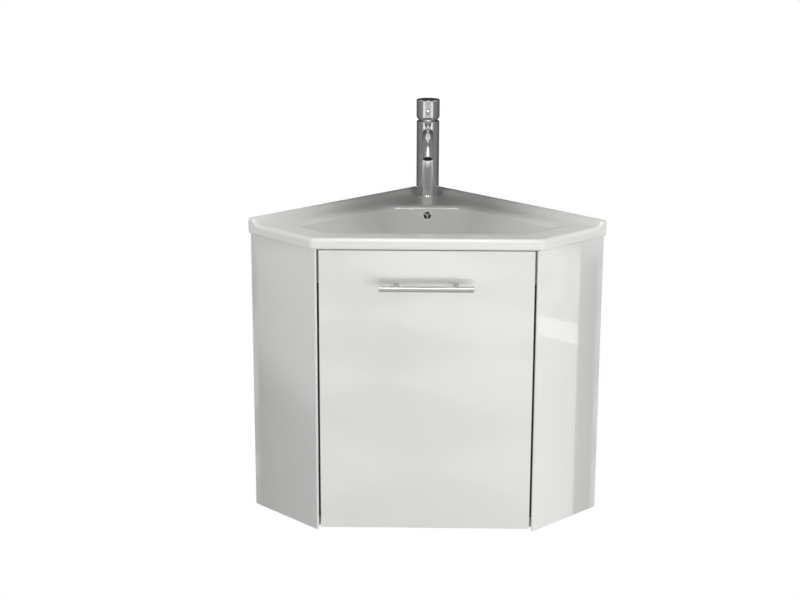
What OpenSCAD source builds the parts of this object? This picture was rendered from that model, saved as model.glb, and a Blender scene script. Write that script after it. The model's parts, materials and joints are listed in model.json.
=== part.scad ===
// Wall-hung corner vanity unit: five-sided ceramic basin, one pull-out drawer, pillar mixer.
// Millimetres. The room corner is the Z axis, the cabinet's underside is Z = 0, the viewer
// stands at -Y, and the two walls run off at 45 degrees to X, to the left and to the right.

/* [Overall] */
// Length of each wall side of the basin, from the room corner outwards
wall_leg = 422; // [380:1:504]
// Length of each short side of the basin, square to its wall
basin_side = 159; // [135:1:195]
// Height of the cabinet
cabinet_h = 480; // [400:1:580]

/* [Basin] */
// Height of the rim above the cabinet
rim_h = 18.5; // [17:0.5:24]
// Height of the upstand along the walls, above the cabinet
upstand_h = 27; // [25:0.5:36]
// Width of the upstand's flat top
upstand_w = 10; // [8:0.5:13]
// Radius of the cove between upstand and deck
cove_r = 24; // [16:1:28]
// Radius of the rim's upper edge
rim_edge_r = 5; // [3:0.5:5]
// Radius of the outer corners, seen from above
corner_r = 5.5; // [5.5:0.5:12]
// Depth of the bowl below the rim
bowl_depth = 113; // [94:1:136]
// Thickness of the ceramic walls
ceramic_t = 10; // [8:0.5:12]
// Thickness of the tap deck
deck_t = 13; // [11:0.5:15]
// Width of the front rim
front_rim_w = 38; // [35:1:44]
// Width of the side rims
side_rim_w = 43; // [36:1:50]
// Width of the shelf between wall and bowl
shelf_w = 50; // [46:1:60]
// Distance from the room corner to the bowl's rear edge
deck_d = 144; // [132:1:160]
// Width of the foot that the basin stands on
foot_w = 26; // [24:1:28]
// Radius of the tap hole
tap_hole_r = 17.5; // [16:0.5:18]
// Distance from the room corner to the tap hole
tap_d = 62; // [58:1:66]
// Radius of the flat seats above and below the deck, round the tap hole
tap_seat_r = 24; // [22.5:0.5:26]
// Radius of the waste hole
waste_hole_r = 23; // [22:0.5:25]
// Distance from the front face to the waste
waste_from_front = 165; // [150:1:180]
// Radius of the overflow hole
overflow_r = 8; // [7:0.5:9]
// Height of the overflow hole's centre above the cabinet
overflow_z = 2; // [0:0.5:3]

/* [Cabinet] */
// Thickness of the panels
panel_t = 16; // [15:0.2:19.2]
// How far the side panels stand in from the basin's sides
side_set = 5; // [2:0.5:6]
// How far the basin stands out over the cabinet's front
front_set = 1; // [0.5:0.5:3]
// Gap between the walls and the panels' rear edges
wall_gap = 3; // [1:0.5:4]
// Radius of the side panels' front edges
nose_r = 2.3; // [1.5:0.1:3]
// Height of the upper back rails
upper_rail_h = 100; // [80:1:120]
// Height of the lower back rails
lower_rail_h = 70; // [50:1:90]
// Thickness of the top rail behind the drawer front
top_rail_t = 12; // [10:0.5:12]
// Height of the top rail behind the drawer front
top_rail_h = 60; // [40:1:80]
// Side of the square corner post
post_w = 24; // [20:1:26]
// Height of the runner partitions
partition_h = 200; // [160:1:240]
// Radius of the wall screw holes
wall_hole_r = 4; // [3:0.5:5]

/* [Drawer] */
// Thickness of the drawer front
front_t = 16; // [15:0.5:19]
// Gap at each side of the drawer front
front_gap = 3.2; // [2:0.1:4]
// Gap between the basin and the top of the drawer front
front_top_gap = 1; // [0.8:0.1:4]
// How far the drawer front's lower edge is above the side panels'
front_lift = 3.8; // [2:0.1:6]
// Radius of the drawer front's edges
front_edge_r = 1.6; // [1:0.1:2.5]
// Width of the drawer box
box_w = 280; // [240:1:290]
// Depth of the drawer box
box_d = 212; // [190:1:216]
// Height of the drawer box
box_h = 170; // [120:1:190]
// Thickness of the drawer box sides
box_t = 12; // [10:0.5:13]
// Thickness of the drawer base
base_t = 8; // [6:0.5:9]
// Height of the drawer box above the cabinet's underside
box_lift = 30; // [24:1:40]
// Half width of the trap cut-out
trap_half_w = 52; // [45:1:60]
// Depth of the trap cut-out, from the rear of the drawer box
trap_d = 118; // [100:1:130]
// Thickness of the cut-out's liner
liner_t = 5; // [4:0.5:6]

/* [Handle] */
// Diameter of the bar
bar_d = 9.5; // [8:0.1:12]
// Length of the bar
bar_l = 152; // [130:1:180]
// Distance between the posts
post_pitch = 96; // [96:32:128]
// Diameter of the posts
handle_post_d = 8; // [7:0.1:9]
// Distance from the drawer front to the bar's centre
bar_out = 28; // [24:1:36]
// Distance from the cabinet's top down to the bar's centre
bar_down = 57; // [50:1:90]

/* [Runners] */
// Length of the runners
runner_l = 180; // [150:1:184]
// Space for a runner at each side of the drawer box
runner_w = 13; // [12.7:0.1:13.5]
// Height of the runners' cabinet members
runner_h = 35; // [35:1:45]
// Thickness of the runners' sheet steel
runner_t = 1.2; // [1:0.1:1.5]
// Diameter of the runners' balls
ball_d = 3.2; // [3:0.1:3.4]

/* [Mixer] */
// Diameter of the mixer's body
body_d = 40; // [38:0.5:44]
// Height of the mixer's body above the deck
body_h = 131.5; // [110:0.5:160]
// Height of the mixer's head
head_h = 34.8; // [30:0.5:42]
// Gap between the mixer's body and its head
head_gap = 3; // [2.8:0.1:4]
// Diameter of the spout
spout_d = 19.5; // [18:0.5:20]
// Distance from the mixer's axis to the outlet
spout_reach = 100; // [90:1:125]
// Height of the outlet above the deck
outlet_h = 84; // [60:1:100]
// Slope of the spout where it leaves the body
spout_rise = 15; // [0:1:18]
// Slope of the outlet, downwards
spout_fall = 56; // [45:1:70]
// Length of the lever outside the head
lever_l = 38; // [30:1:60]
// Diameter of the cartridge
cartridge_d = 25; // [24:0.5:26]

/* [Fits] */
// Gap of a turning or sliding fit, all round
run_gap = 0.05; // [0.02:0.01:0.08]
// Gap of a seated fit, all round
seat_gap = 0.1; // [0.05:0.01:0.2]
// Gap round a drawer board in its groove
groove_gap = 0.2; // [0.1:0.05:0.3]

/* [Hidden] */
$fn = 64;

root2 = sqrt(2);
eps = 0.01;

// Plan of the unit. u runs along a wall away from the room corner, v stands off that wall.
function plan(u, v) = [(u - v) / root2, -(u + v) / root2];
front_y = plan(wall_leg, basin_side)[1];
nose_y = front_y + front_set;
top_z = cabinet_h;

// Side panels: their faces along the wall, the rounded nose, and the mitre behind it
side_out = wall_leg - side_set;
side_in = side_out - panel_t;
nose_x = root2 * side_out + nose_y - nose_r * (root2 - 1);
mitre_x = nose_x - nose_r;
rail_v = wall_gap + panel_t;
post_v = wall_gap + post_w;

// Drawer front and box
front_half_w = mitre_x - front_gap;
front_back_y = nose_y + front_t;
frame_front_y = front_back_y + 4;
frame_back_y = frame_front_y + top_rail_t;
frame_half_w = root2 * side_in + frame_front_y - seat_gap;
stile_top_z = cabinet_h - top_rail_h;
box_front_y = front_back_y;
box_back_y = box_front_y + box_d;
box_half_w = box_w / 2;
base_z = box_lift + 8;
groove_d = 6;
handle_z = top_z - bar_down;
screw_r = 2;
screw_head_r = 4;
screw_head_h = 2.4;

// Runners
partition_in = box_half_w + runner_w;
runner_front_y = front_back_y + 8;
runner_back_y = runner_front_y + runner_l;
runner_z = box_lift + box_h / 2;
partition_front_y = front_back_y + 6;
ball_lane = ball_d + 2 * run_gap;
middle_half_h = runner_h / 2 - runner_t - ball_lane;
inner_half_h = middle_half_h - runner_t - ball_lane;
middle_web_s = runner_t + 1.4;
csk_r = 3;
runner_screw_r = 1.8;

// Basin
deck_z = rim_h;
floor_z = rim_h - bowl_depth;
bowl_r = 25;
waste_y = front_y + waste_from_front;
duct_h = 14;
boss_z = floor_z - ceramic_t - duct_h - 8;
boss_r = 40;
duct_half_w = 14;
rear_lip = 14;
rear_wall_y = -deck_d - rear_lip * sin(60);
lip_z = rim_h - rear_lip * 0.75 * (1 - cos(60));
floor_in = 5;
rear_lean = atan(floor_in / (lip_z - floor_z - bowl_r));

// Waste
flange_r = 32;
flange_t = 2.5;
waste_r = waste_hole_r - 2.5;
waste_bore_r = waste_r - 3;
waste_end_z = boss_z - 28;
tail_r = 16;
tail_l = 70;
tail_spigot_l = 55;
collar_t = 2;
stem_r = 5;

// Mixer
tap_y = -tap_d;
body_r = body_d / 2;
ring_t = 2.5;
body_z0 = deck_z + ring_t;
body_z1 = body_z0 + body_h;
head_r = body_r + 0.4;
head_z0 = body_z1 + head_gap;
head_z1 = head_z0 + head_h;
head_chamfer = 2.7;
head_chamfer_h = 4.8;
head_bore_r = body_r - 4.5;
cartridge_r = cartridge_d / 2;
cartridge_z0 = body_z1 - 12;
nut_z0 = body_z1 - 6;
nut_r = cartridge_r + 2.4;
neck_r = nut_r - 1.4;
neck_z1 = body_z1 + 3.5;
cartridge_neck_r = cartridge_r - 1.7;
carrier_r = 7.5;
carrier_z0 = body_z1 - 4;
pivot_z = body_z1 + 5;
stem_w = 7;
stem_t = 6;
stem_foot = 4;
pin_r = 1.5;
stem_z1 = head_z1 - 15;
lever_z = head_z0 + 16;
lever_tilt = 4;
lever_r = 3;
spout_r = spout_d / 2;
outlet_z = deck_z + outlet_h;
outlet_bore_r = spout_r - 1.6;
spout_arc_r = (spout_reach - body_r) / (sin(spout_rise) + sin(spout_fall));
spout_root_z = outlet_z + spout_arc_r * (cos(spout_rise) - cos(spout_fall));
stud_r = 4;
stud_off = 11;
inlet_x = 8;
inlet_off = 5;
inlet_r = 4.5;
inlet_l = 12;
clamp_z = deck_z - deck_t;

// Points of an arc, both ends included
function arc(c, r, from, to, n) = [for (i = [0 : n]) let (a = from + (to - from) * i / n)
    [c[0] + r * cos(a), c[1] + r * sin(a)]];

module other_side() { mirror([1, 0, 0]) children(); }
module at_side(s) {
    if (s > 0) children();
    else other_side() children();
}
module both_sides() { children(); other_side() children(); }
// Local X runs along the right-hand wall and local -Y stands off it
module right_wall() { rotate([0, 0, -45]) children(); }

// ---------------------------------------------------------------- basin

// Corners of a six-sided plan shape, set in from the basin's front, sides, walls and room corner
function bowl_points(front_w, side_w, shelf, deck) = let (
        side_u = wall_leg - side_w,
        right = [
            [root2 * side_u + front_y + front_w, front_y + front_w],
            plan(side_u, shelf),
            [deck - root2 * shelf, -deck]
        ]
    ) concat(right, [for (p = right) [-p[0], p[1]]]);

// Short posts in those corners: the ends of one step of the bowl
module bowl_posts(grow, r, z, h) {
    for (p = bowl_points(front_rim_w + grow[0] + r, side_rim_w + grow[1] + r,
                         shelf_w + grow[2] + r, deck_d + grow[2] + r))
        translate([p[0], p[1], z]) cylinder(r = r, h = h, $fn = 32);
}

// Centres of the balls that round the bowl's floor
function floor_points() = let (
        back_y = rear_wall_y - bowl_r - floor_in,
        fore_y = front_y + front_rim_w + 55 + bowl_r
    ) [for (s = [-1, 1]) each [[s * 112, fore_y], [s * 122, fore_y + 18], [s * 42, back_y]]];

module floor_balls(r) {
    for (p = floor_points())
        translate([p[0], p[1], floor_z + bowl_r]) sphere(r = r, $fn = 32);
}

// One step of the rounded lip: how far it has turned in, at front, side and rear
function lip_in(angle) = [5, 8, rear_lip] * sin(angle);
function lip_drop(angle) = rear_lip * 0.75 * (1 - cos(angle));

module bowl_cavity() {
    hull() {
        bowl_posts([0, 0, 0], 20, rim_h, 12);
        bowl_posts(lip_in(30), 20, rim_h - lip_drop(30), eps);
    }
    hull() {
        bowl_posts(lip_in(30), 20, rim_h - lip_drop(30), eps);
        bowl_posts(lip_in(60), 20, rim_h - lip_drop(60), eps);
    }
    hull() {
        bowl_posts(lip_in(60), 20, rim_h - lip_drop(60), eps);
        floor_balls(bowl_r);
    }
}

module bowl_outside() {
    hull() {
        bowl_posts(lip_in(60) - [1, 1, 1] * ceramic_t, 20 + ceramic_t / 2, rim_h - deck_t - 2, 4);
        floor_balls(bowl_r + ceramic_t);
    }
}

module rounded_corner(p, r) {
    edge = rim_edge_r;
    translate([p[0], p[1], 0]) rotate_extrude($fn = 32) {
        polygon(concat([[0, 0], [r, 0]], arc([r - edge, rim_h - edge], edge, 0, 90, 8), [[0, rim_h]]));
    }
}

// Where the front and side faces meet, drawn in by r from both
function plan_front_corner(r) = [root2 * (wall_leg - r) + front_y + r, front_y + r];

// Five-sided slab with a rounded upper edge
module rim_slab() {
    r = corner_r;
    hull() {
        rounded_corner([0, -r * root2], r);
        both_sides() rounded_corner(plan(wall_leg - r, r), r);
        both_sides() rounded_corner(plan_front_corner(r), r);
    }
}

// The slab's plan with its rounded corners, drawn in by a margin
module rim_plan(margin) {
    r = corner_r;
    front = plan_front_corner(r);
    wall = plan(wall_leg - r, r);
    side = [arc(wall, r - margin, 45, -45, 8), arc(front, r - margin, -45, -90, 6)];
    right = concat(side[0], side[1]);
    polygon(concat([[0, -margin * root2]], right,
                   [for (i = [len(right) - 1 : -1 : 0]) [-right[i][0], right[i][1]]]));
}

// Upstand with its rounded top and the cove down to the deck, along the right-hand wall
module upstand() {
    top_r = 4;
    rise = upstand_h - rim_h;
    turn = acos(1 - rise / (top_r + cove_r));
    top_c = [upstand_w, upstand_h - top_r];
    cove_c = top_c + (top_r + cove_r) * [sin(turn), cos(turn)];
    meet = top_c + top_r * [sin(turn), cos(turn)];
    right_wall() rotate([90, 0, 90]) linear_extrude(wall_leg) mirror([1, 0]) {
        difference() {
            polygon([[0, 2], [cove_c[0], 2], [cove_c[0], rim_h], meet, top_c,
                     [upstand_w, upstand_h], [0, upstand_h]]);
            translate(cove_c) circle(r = cove_r);
        }
        translate(top_c) circle(r = top_r);
    }
}

// Plan of the hollow under the basin, inside the foot
module underside_plan() {
    w = wall_leg - foot_w;
    right = [plan(w, foot_w), [root2 * w + front_y + foot_w, front_y + foot_w]];
    polygon(concat([[0, -foot_w * root2]], right, [for (i = [1, 0]) [-right[i][0], right[i][1]]]));
}

// Overflow duct behind the bowl and under its floor, as a side profile
module duct_plate(half_w, wall) {
    back = rear_wall_y + ceramic_t + 12 + wall;
    top = overflow_z + overflow_r + 2 + wall;
    low = floor_z - ceramic_t - duct_h - wall;
    translate([-half_w, 0, 0]) rotate([90, 0, 90]) linear_extrude(2 * half_w)
        polygon([[waste_y, low], [back - 12, low], [back, low + 12], [back, top],
                 [rear_wall_y + ceramic_t / 2 - wall, top],
                 [rear_wall_y + ceramic_t / 2 - wall, floor_z - ceramic_t + wall],
                 [waste_y, floor_z - ceramic_t + wall]]);
}

module basin() color("white") translate([0, 0, top_z]) difference() {
    union() {
        difference() {
            union() {
                rim_slab();
                intersection() {
                    both_sides() upstand();
                    linear_extrude(upstand_h + 1) rim_plan(0.4);
                }
            }
            translate([0, 0, -1]) linear_extrude(rim_h - deck_t + 1) underside_plan();
        }
        bowl_outside();
        duct_plate(duct_half_w + 6, 6);
        translate([0, waste_y, boss_z]) cylinder(r = boss_r, h = floor_z - boss_z - 1);
    }
    bowl_cavity();
    duct_plate(duct_half_w, 0);
    translate([0, tap_y, clamp_z - 1]) cylinder(r = tap_hole_r, h = deck_t + 2);
    translate([0, tap_y, deck_z]) cylinder(r = tap_seat_r, h = upstand_h);
    translate([0, tap_y, clamp_z - 20]) cylinder(r = tap_seat_r, h = 20);
    translate([0, waste_y, boss_z - 1]) cylinder(r = waste_hole_r, h = bowl_depth);
    translate([0, waste_y, floor_z - flange_t]) cylinder(r = flange_r + 0.5, h = 10);
    at_overflow() translate([0, 0, -14]) cylinder(r = overflow_r, h = 20);
}

// Frame at the overflow, on the leaning rear wall: Z points out of the wall
module at_overflow() {
    translate([0, rear_wall_y - (lip_z - overflow_z) * tan(rear_lean), overflow_z])
        rotate([90 - rear_lean, 0, 0]) children();
}

module overflow_ring() color("gainsboro") translate([0, 0, top_z]) at_overflow() {
    ring_w = 1.4;
    difference() {
        union() {
            translate([0, 0, 0.1]) cylinder(r = overflow_r + 1.2, h = 1.2);
            translate([0, 0, -6]) cylinder(r = overflow_r - seat_gap, h = 7);
        }
        translate([0, 0, -7]) cylinder(r = overflow_r - ring_w, h = 10);
    }
    for (a = [30, 150, 270]) rotate([0, 0, a]) translate([0, -ring_w / 2, -1])
        cube([overflow_r - ring_w / 2, ring_w, 1.8]);
}

// ---------------------------------------------------------------- waste

module at_waste(z) { translate([0, waste_y, top_z + z]) children(); }

module waste_flange() color("silver") at_waste(waste_end_z) {
    tube_l = floor_z - waste_end_z;
    slot_h = duct_h - 4;
    difference() {
        union() {
            translate([0, 0, tube_l]) rotate_extrude()
                polygon([[0, 1 - flange_t], [flange_r, 1 - flange_t], [flange_r, -0.5],
                         [flange_r - 6, 0.5], [0, 0.5]]);
            cylinder(r = waste_r, h = tube_l - 1);
        }
        translate([0, 0, -1]) cylinder(r = waste_bore_r, h = tube_l + 3);
        for (a = [0, 90]) rotate([0, 0, a])
            translate([-flange_r, -5, tube_l - ceramic_t - duct_h + 2]) cube([2 * flange_r, 10, slot_h]);
    }
}

// Plate with water holes and a bush that guides the plug's stem, seated in the waste body
module plug_guide() color("silver") at_waste(floor_z - 38) difference() {
    bush_r = stem_r + 3;
    bush_h = 8;
    plate_h = 3;
    hole_r = 4;
    union() {
        cylinder(r = waste_bore_r - seat_gap, h = plate_h);
        cylinder(r = bush_r, h = bush_h);
    }
    translate([0, 0, -1]) cylinder(r = stem_r + run_gap, h = bush_h + 2);
    for (a = [30 : 60 : 330]) rotate([0, 0, a]) translate([(waste_bore_r + bush_r) / 2, 0, -1])
        cylinder(r = hole_r, h = plate_h + 2);
}

module flange_seal() color("dimgray") at_waste(floor_z - flange_t) difference() {
    cylinder(r = flange_r - 1, h = 1);
    translate([0, 0, -1]) cylinder(r = waste_r + seat_gap, h = 3);
}

module waste_plug() color("silver") at_waste(floor_z + 0.5) {
    rotate_extrude() polygon([[0, 0], [26, 0], [29, 1.2], [28, 3], [20, 5], [8, 6], [0, 6.2]]);
    translate([0, 0, -40]) cylinder(r = stem_r, h = 41);
    difference() {
        translate([0, 0, -8]) cylinder(r = 12, h = 8.5);
        translate([0, 0, -9]) cylinder(r = 9, h = 8);
    }
}

module lower_seal() color("dimgray") at_waste(boss_z - 4) difference() {
    cylinder(r = 31, h = 4);
    translate([0, 0, -1]) cylinder(r = waste_r + seat_gap, h = 6);
}

module waste_nut() color("silver") at_waste(boss_z - 12) difference() {
    union() {
        cylinder(r = 28, h = 8, $fn = 6);
        translate([0, 0, 6]) cylinder(r = 30, h = 2);
    }
    translate([0, 0, -1]) cylinder(r = waste_r + seat_gap, h = 10);
}

module tail_nut() color("silver") at_waste(waste_end_z) {
    difference() {
        translate([0, 0, -8]) cylinder(r = waste_r + 4, h = 22);
        translate([0, 0, -collar_t]) cylinder(r = waste_r + seat_gap, h = 15 + collar_t);
        translate([0, 0, -9]) cylinder(r = tail_r + seat_gap, h = 10);
    }
}

module tail_pipe() color("silver") at_waste(waste_end_z) difference() {
    union() {
        translate([0, 0, -tail_l]) cylinder(r = tail_r, h = tail_spigot_l);
        translate([0, 0, -tail_l]) cylinder(r = tail_r - 0.2, h = tail_l);
        translate([0, 0, -collar_t]) cylinder(r = waste_r, h = collar_t);
    }
    translate([0, 0, -tail_l - 1]) cylinder(r = tail_r - 1.2, h = tail_l + 2);
}

// ---------------------------------------------------------------- mixer

module at_tap(z) { translate([0, tap_y, top_z + z]) children(); }

// Spout's bend, seen from its own centre; the tube runs from the body down to the outlet
module spout_tube(r, root, end) {
    c_y = -body_r - spout_arc_r * sin(spout_rise);
    c_z = spout_root_z - spout_arc_r * cos(spout_rise);
    translate([0, c_y, c_z]) rotate([180, -90, 0]) {
        rotate([0, 0, -spout_rise]) rotate_extrude(angle = spout_rise + spout_fall)
            translate([spout_arc_r, 0]) circle(r = r);
        rotate([0, 0, -spout_rise]) translate([spout_arc_r, 0, 0]) rotate([90, 0, 0])
            cylinder(r = r, h = root);
        if (end > 0) rotate([0, 0, spout_fall]) translate([spout_arc_r, 0, 0])
            rotate([-90, 0, 0]) cylinder(r = r, h = end);
    }
}

// Frame at the outlet: Z points out of the spout
module at_outlet() {
    c_y = -body_r - spout_arc_r * sin(spout_rise);
    c_z = spout_root_z - spout_arc_r * cos(spout_rise);
    at_tap(0) translate([0, c_y, c_z]) rotate([180, -90, 0]) rotate([0, 0, spout_fall])
        translate([spout_arc_r, 0, 0]) rotate([-90, 0, 0]) children();
}

module mixer_body() color("silver") difference() {
    union() {
        at_tap(body_z0) rotate_extrude() polygon([[0, 0], [body_r, 0], [body_r, body_h - 0.6],
            [body_r - 0.6, body_h], [0, body_h]]);
        at_tap(0) spout_tube(spout_r, body_r - 4, 0);
    }
    at_tap(0) spout_tube(spout_r - 3, body_r - 2, 1);
    at_outlet() translate([0, 0, -9]) cylinder(r = outlet_bore_r, h = 12);
    at_tap(cartridge_z0) cylinder(r = cartridge_r + seat_gap, h = 60);
    at_tap(nut_z0) cylinder(r = nut_r + seat_gap, h = 20);
    at_tap(spout_root_z - 8) cylinder(r = 4, h = 30);
    for (s = [-1, 1]) at_tap(body_z0 - 1) translate([s * inlet_x, -inlet_off, 0])
        cylinder(r = inlet_r, h = inlet_l + 1);
    at_tap(body_z0 - 1) translate([0, stud_off, 0]) cylinder(r = stud_r + seat_gap, h = 13);
}

module mixer_base_ring() color("silver") at_tap(deck_z) difference() {
    rotate_extrude() polygon([[0, 0], [body_r + 1.8, 0], [body_r + 1.8, 1.2],
                              [body_r + 0.6, ring_t], [0, ring_t]]);
    translate([0, 0, -1]) cylinder(r = tap_hole_r - 1, h = ring_t + 2);
}

module aerator_shell() color("silver") at_outlet() translate([0, 0, -8]) difference() {
    cylinder(r = outlet_bore_r - seat_gap, h = 8.6);
    translate([0, 0, 1]) cylinder(r = outlet_bore_r - 1, h = 9);
    translate([0, 0, -1]) cylinder(r = outlet_bore_r - 2.4, h = 3);
}

module aerator_insert() color("black") at_outlet() translate([0, 0, -7]) difference() {
    cylinder(r = outlet_bore_r - 1 - seat_gap, h = 6);
    translate([0, 0, 4]) cylinder(r = outlet_bore_r - 2.2, h = 3);
    for (a = [0 : 60 : 300]) rotate([0, 0, a]) translate([3.4, 0, -1]) cylinder(r = 1, h = 9);
}

module cartridge() color("dimgray") difference() {
    union() {
        at_tap(cartridge_z0) cylinder(r = cartridge_r, h = nut_z0 - cartridge_z0);
        at_tap(nut_z0 - 1) cylinder(r = cartridge_neck_r, h = neck_z1 - nut_z0 + 2);
    }
    at_tap(carrier_z0) cylinder(r = carrier_r + run_gap, h = 30);
    at_tap(cartridge_z0 - 1) cylinder(r = 4, h = 4);
    for (s = [-1, 1]) at_tap(cartridge_z0 - 1) translate([s * 8, 0, 0]) cylinder(r = 2.5, h = 4);
}

module cartridge_nut() color("gray") at_tap(nut_z0) difference() {
    union() {
        cylinder(r = nut_r, h = body_z1 - nut_z0 - 0.5);
        cylinder(r = neck_r, h = neck_z1 - nut_z0);
    }
    translate([0, 0, -1]) cylinder(r = cartridge_neck_r + seat_gap, h = 20);
}

module cartridge_carrier() color("white") difference() {
    at_tap(carrier_z0) cylinder(r = carrier_r, h = pivot_z + 3 - carrier_z0);
    at_tap(pivot_z - stem_foot - 1.5) translate([-stem_w / 2 - seat_gap, -15, 0])
        cube([stem_w + 2 * seat_gap, 30, 20]);
    at_tap(pivot_z) rotate([0, 90, 0]) cylinder(r = pin_r, h = 30, center = true);
}

module stem_pin() color("silver") at_tap(pivot_z) rotate([0, 90, 0])
    cylinder(r = pin_r, h = 2 * carrier_r - 1, center = true);

module cartridge_stem() color("gray") difference() {
    at_tap(pivot_z - stem_foot) translate([-stem_w / 2, -stem_t / 2, 0])
        cube([stem_w, stem_t, stem_z1 - pivot_z + stem_foot]);
    at_tap(pivot_z) rotate([0, 90, 0]) cylinder(r = pin_r + run_gap, h = 30, center = true);
}

// Frame of the lever: Z points out of the head's front
module at_lever() { at_tap(lever_z) rotate([90 - lever_tilt, 0, 0]) children(); }

module mixer_head() color("silver") difference() {
    at_tap(head_z0) rotate_extrude() polygon([[0, 0], [head_r - head_chamfer, 0],
        [head_r, head_chamfer_h], [head_r, head_h - 0.8], [head_r - 0.8, head_h], [0, head_h]]);
    difference() {
        at_tap(head_z0 - 1) cylinder(r = head_bore_r, h = stem_z1 - head_z0 + 1);
        at_tap(pivot_z + 5) cylinder(r = 7, h = 40);
    }
    at_tap(head_z0 - 1) translate([-stem_w / 2 - seat_gap, -stem_t / 2 - seat_gap, 0])
        cube([stem_w + 2 * seat_gap, stem_t + 2 * seat_gap, stem_z1 - head_z0 + 1]);
    at_lever() translate([0, 0, stem_t / 2]) cylinder(r = lever_r + seat_gap, h = 40);
}

module pin_lever() color("silver") at_lever() rotate_extrude() {
    out = head_r + lever_l;
    square_to = head_r + 1;
    polygon([[0, stem_t / 2 + 0.4], [lever_r, stem_t / 2 + 0.4], [lever_r, square_to],
             [lever_r + 1.2, out - 2], [lever_r + 0.6, out - 0.5], [lever_r - 0.4, out], [0, out]]);
}

module fixing_stud() color("silver") at_tap(0) translate([0, stud_off, -46])
    cylinder(r = stud_r, h = body_z0 + 12 + 46 - 0.5);

// Horseshoe: its slot is open to the front, where the hoses come through
module horseshoe(r, t) {
    difference() {
        cylinder(r = r, h = t);
        translate([-13.5, -r - 1, -1]) cube([27, r + 5, t + 2]);
        translate([0, stud_off, -1]) cylinder(r = stud_r + 0.3, h = t + 2);
    }
}

module deck_gasket() color("dimgray") at_tap(clamp_z - 3) horseshoe(22, 3);

module deck_washer() color("silver") at_tap(clamp_z - 5) horseshoe(22, 2);

module stud_nut() color("silver") at_tap(clamp_z - 11.5) translate([0, stud_off, 0]) difference() {
    cylinder(r = 7.5, h = 6.5, $fn = 6);
    translate([0, 0, -1]) cylinder(r = stud_r + seat_gap, h = 9);
}

// ---------------------------------------------------------------- cabinet

module right_panel_plan() {
    nose = arc([nose_x, nose_y + nose_r], nose_r, -45, -180, 12);
    polygon(concat([plan(side_in, wall_gap), plan(side_out, wall_gap)], nose,
                   [[mitre_x, mitre_x - root2 * side_in]]));
}

module right_side_panel() color("white") difference() {
    linear_extrude(cabinet_h) right_panel_plan();
    right_cams(seat_gap);
}

module left_side_panel() color("white") difference() {
    other_side() linear_extrude(cabinet_h) right_panel_plan();
    other_side() right_cams(seat_gap);
}

module bottom_panel() color("whitesmoke") {
    front = nose_y + front_t + 2;
    right = [plan(side_in, wall_gap), [root2 * side_in + front, front]];
    linear_extrude(panel_t)
        polygon(concat([[0, -wall_gap * root2]], right,
                       [for (i = [1, 0]) [-right[i][0], right[i][1]]]));
}

module corner_post() color("burlywood") right_wall()
    translate([wall_gap, -post_v, panel_t]) cube([post_w, post_w, cabinet_h - panel_t]);

module right_rail(z, h) {
    right_wall() translate([post_v, -rail_v, z]) cube([side_in - post_v, panel_t, h]);
}

// Where the wall screws go, along the wall
function wall_screw_u() = [post_v + 70, side_in - 62];
wall_screw_z = cabinet_h - 42;

module wall_screw_holes() {
    for (u = wall_screw_u()) right_wall() translate([u, 0, wall_screw_z]) rotate([90, 0, 0])
        cylinder(r = wall_hole_r, h = 40);
}

module upper_rail(s) difference() {
    at_side(s) right_rail(cabinet_h - upper_rail_h, upper_rail_h);
    at_side(s) wall_screw_holes();
    at_side(s) plate_screw_set(runner_screw_r + seat_gap, seat_gap);
    at_side(s) right_cams(seat_gap);
}
module right_upper_rail() color("burlywood") upper_rail(1);
module left_upper_rail() color("burlywood") upper_rail(-1);

module lower_rail(s) difference() {
    at_side(s) right_rail(panel_t, lower_rail_h);
    at_side(s) right_cams(seat_gap);
}
module right_lower_rail() color("burlywood") lower_rail(1);
module left_lower_rail() color("burlywood") lower_rail(-1);

module front_top_rail() color("burlywood") translate([0, 0, stile_top_z])
    linear_extrude(top_rail_h) polygon([
        [-frame_half_w, frame_front_y], [frame_half_w, frame_front_y],
        [frame_half_w + top_rail_t, frame_back_y], [-frame_half_w - top_rail_t, frame_back_y]
    ]);

// Upright boards between the partitions and the side panels, behind the front's side gaps
module front_stiles() color("dimgray") both_sides() translate([0, 0, panel_t])
    linear_extrude(stile_top_z - panel_t) polygon([
        [partition_in + panel_t, frame_front_y], [frame_half_w, frame_front_y],
        [frame_half_w + top_rail_t, frame_back_y], [partition_in + panel_t, frame_back_y]
    ]);

// Board square to the front, mitred where it meets the lower rail
module right_partition_plain() difference() {
    x0 = partition_in;
    x1 = partition_in + panel_t;
    translate([0, 0, panel_t]) linear_extrude(partition_h)
        polygon([[x0, partition_front_y], [x1, partition_front_y],
                 [x1, -x1 - rail_v * root2], [x0, -x0 - rail_v * root2]]);
    other_side() cabinet_screw_set(runner_screw_r + seat_gap);
}
module right_partition() color("burlywood") right_partition_plain();
module left_partition() color("burlywood") other_side() right_partition_plain();

// Cam fittings: a cam in the rail and its bolt in the side panel; a gap widens them to pockets
module right_cams(gap) {
    cam_r = 7.5;
    cam_back = 24;
    bolt_r = 3;
    bolt_l = 26;
    for (z = [cabinet_h - upper_rail_h + 20, cabinet_h - 20, panel_t + lower_rail_h / 2])
        right_wall() translate([side_in - cam_back, -wall_gap - panel_t / 2, z]) {
            translate([0, 3 + gap, 0]) rotate([90, 180, 0])
                cylinder(r = cam_r + gap, h = panel_t / 2 + 3 + (gap > 0 ? 1 : 0));
            translate([cam_r + (gap > 0 ? -3 : seat_gap), 0, 0]) rotate([0, 90, 0])
                cylinder(r = bolt_r + gap, h = bolt_l + (gap > 0 ? 3 + 2 * gap : 0));
        }
}

module cam_fittings() color("silver") both_sides() right_cams(0);

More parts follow.
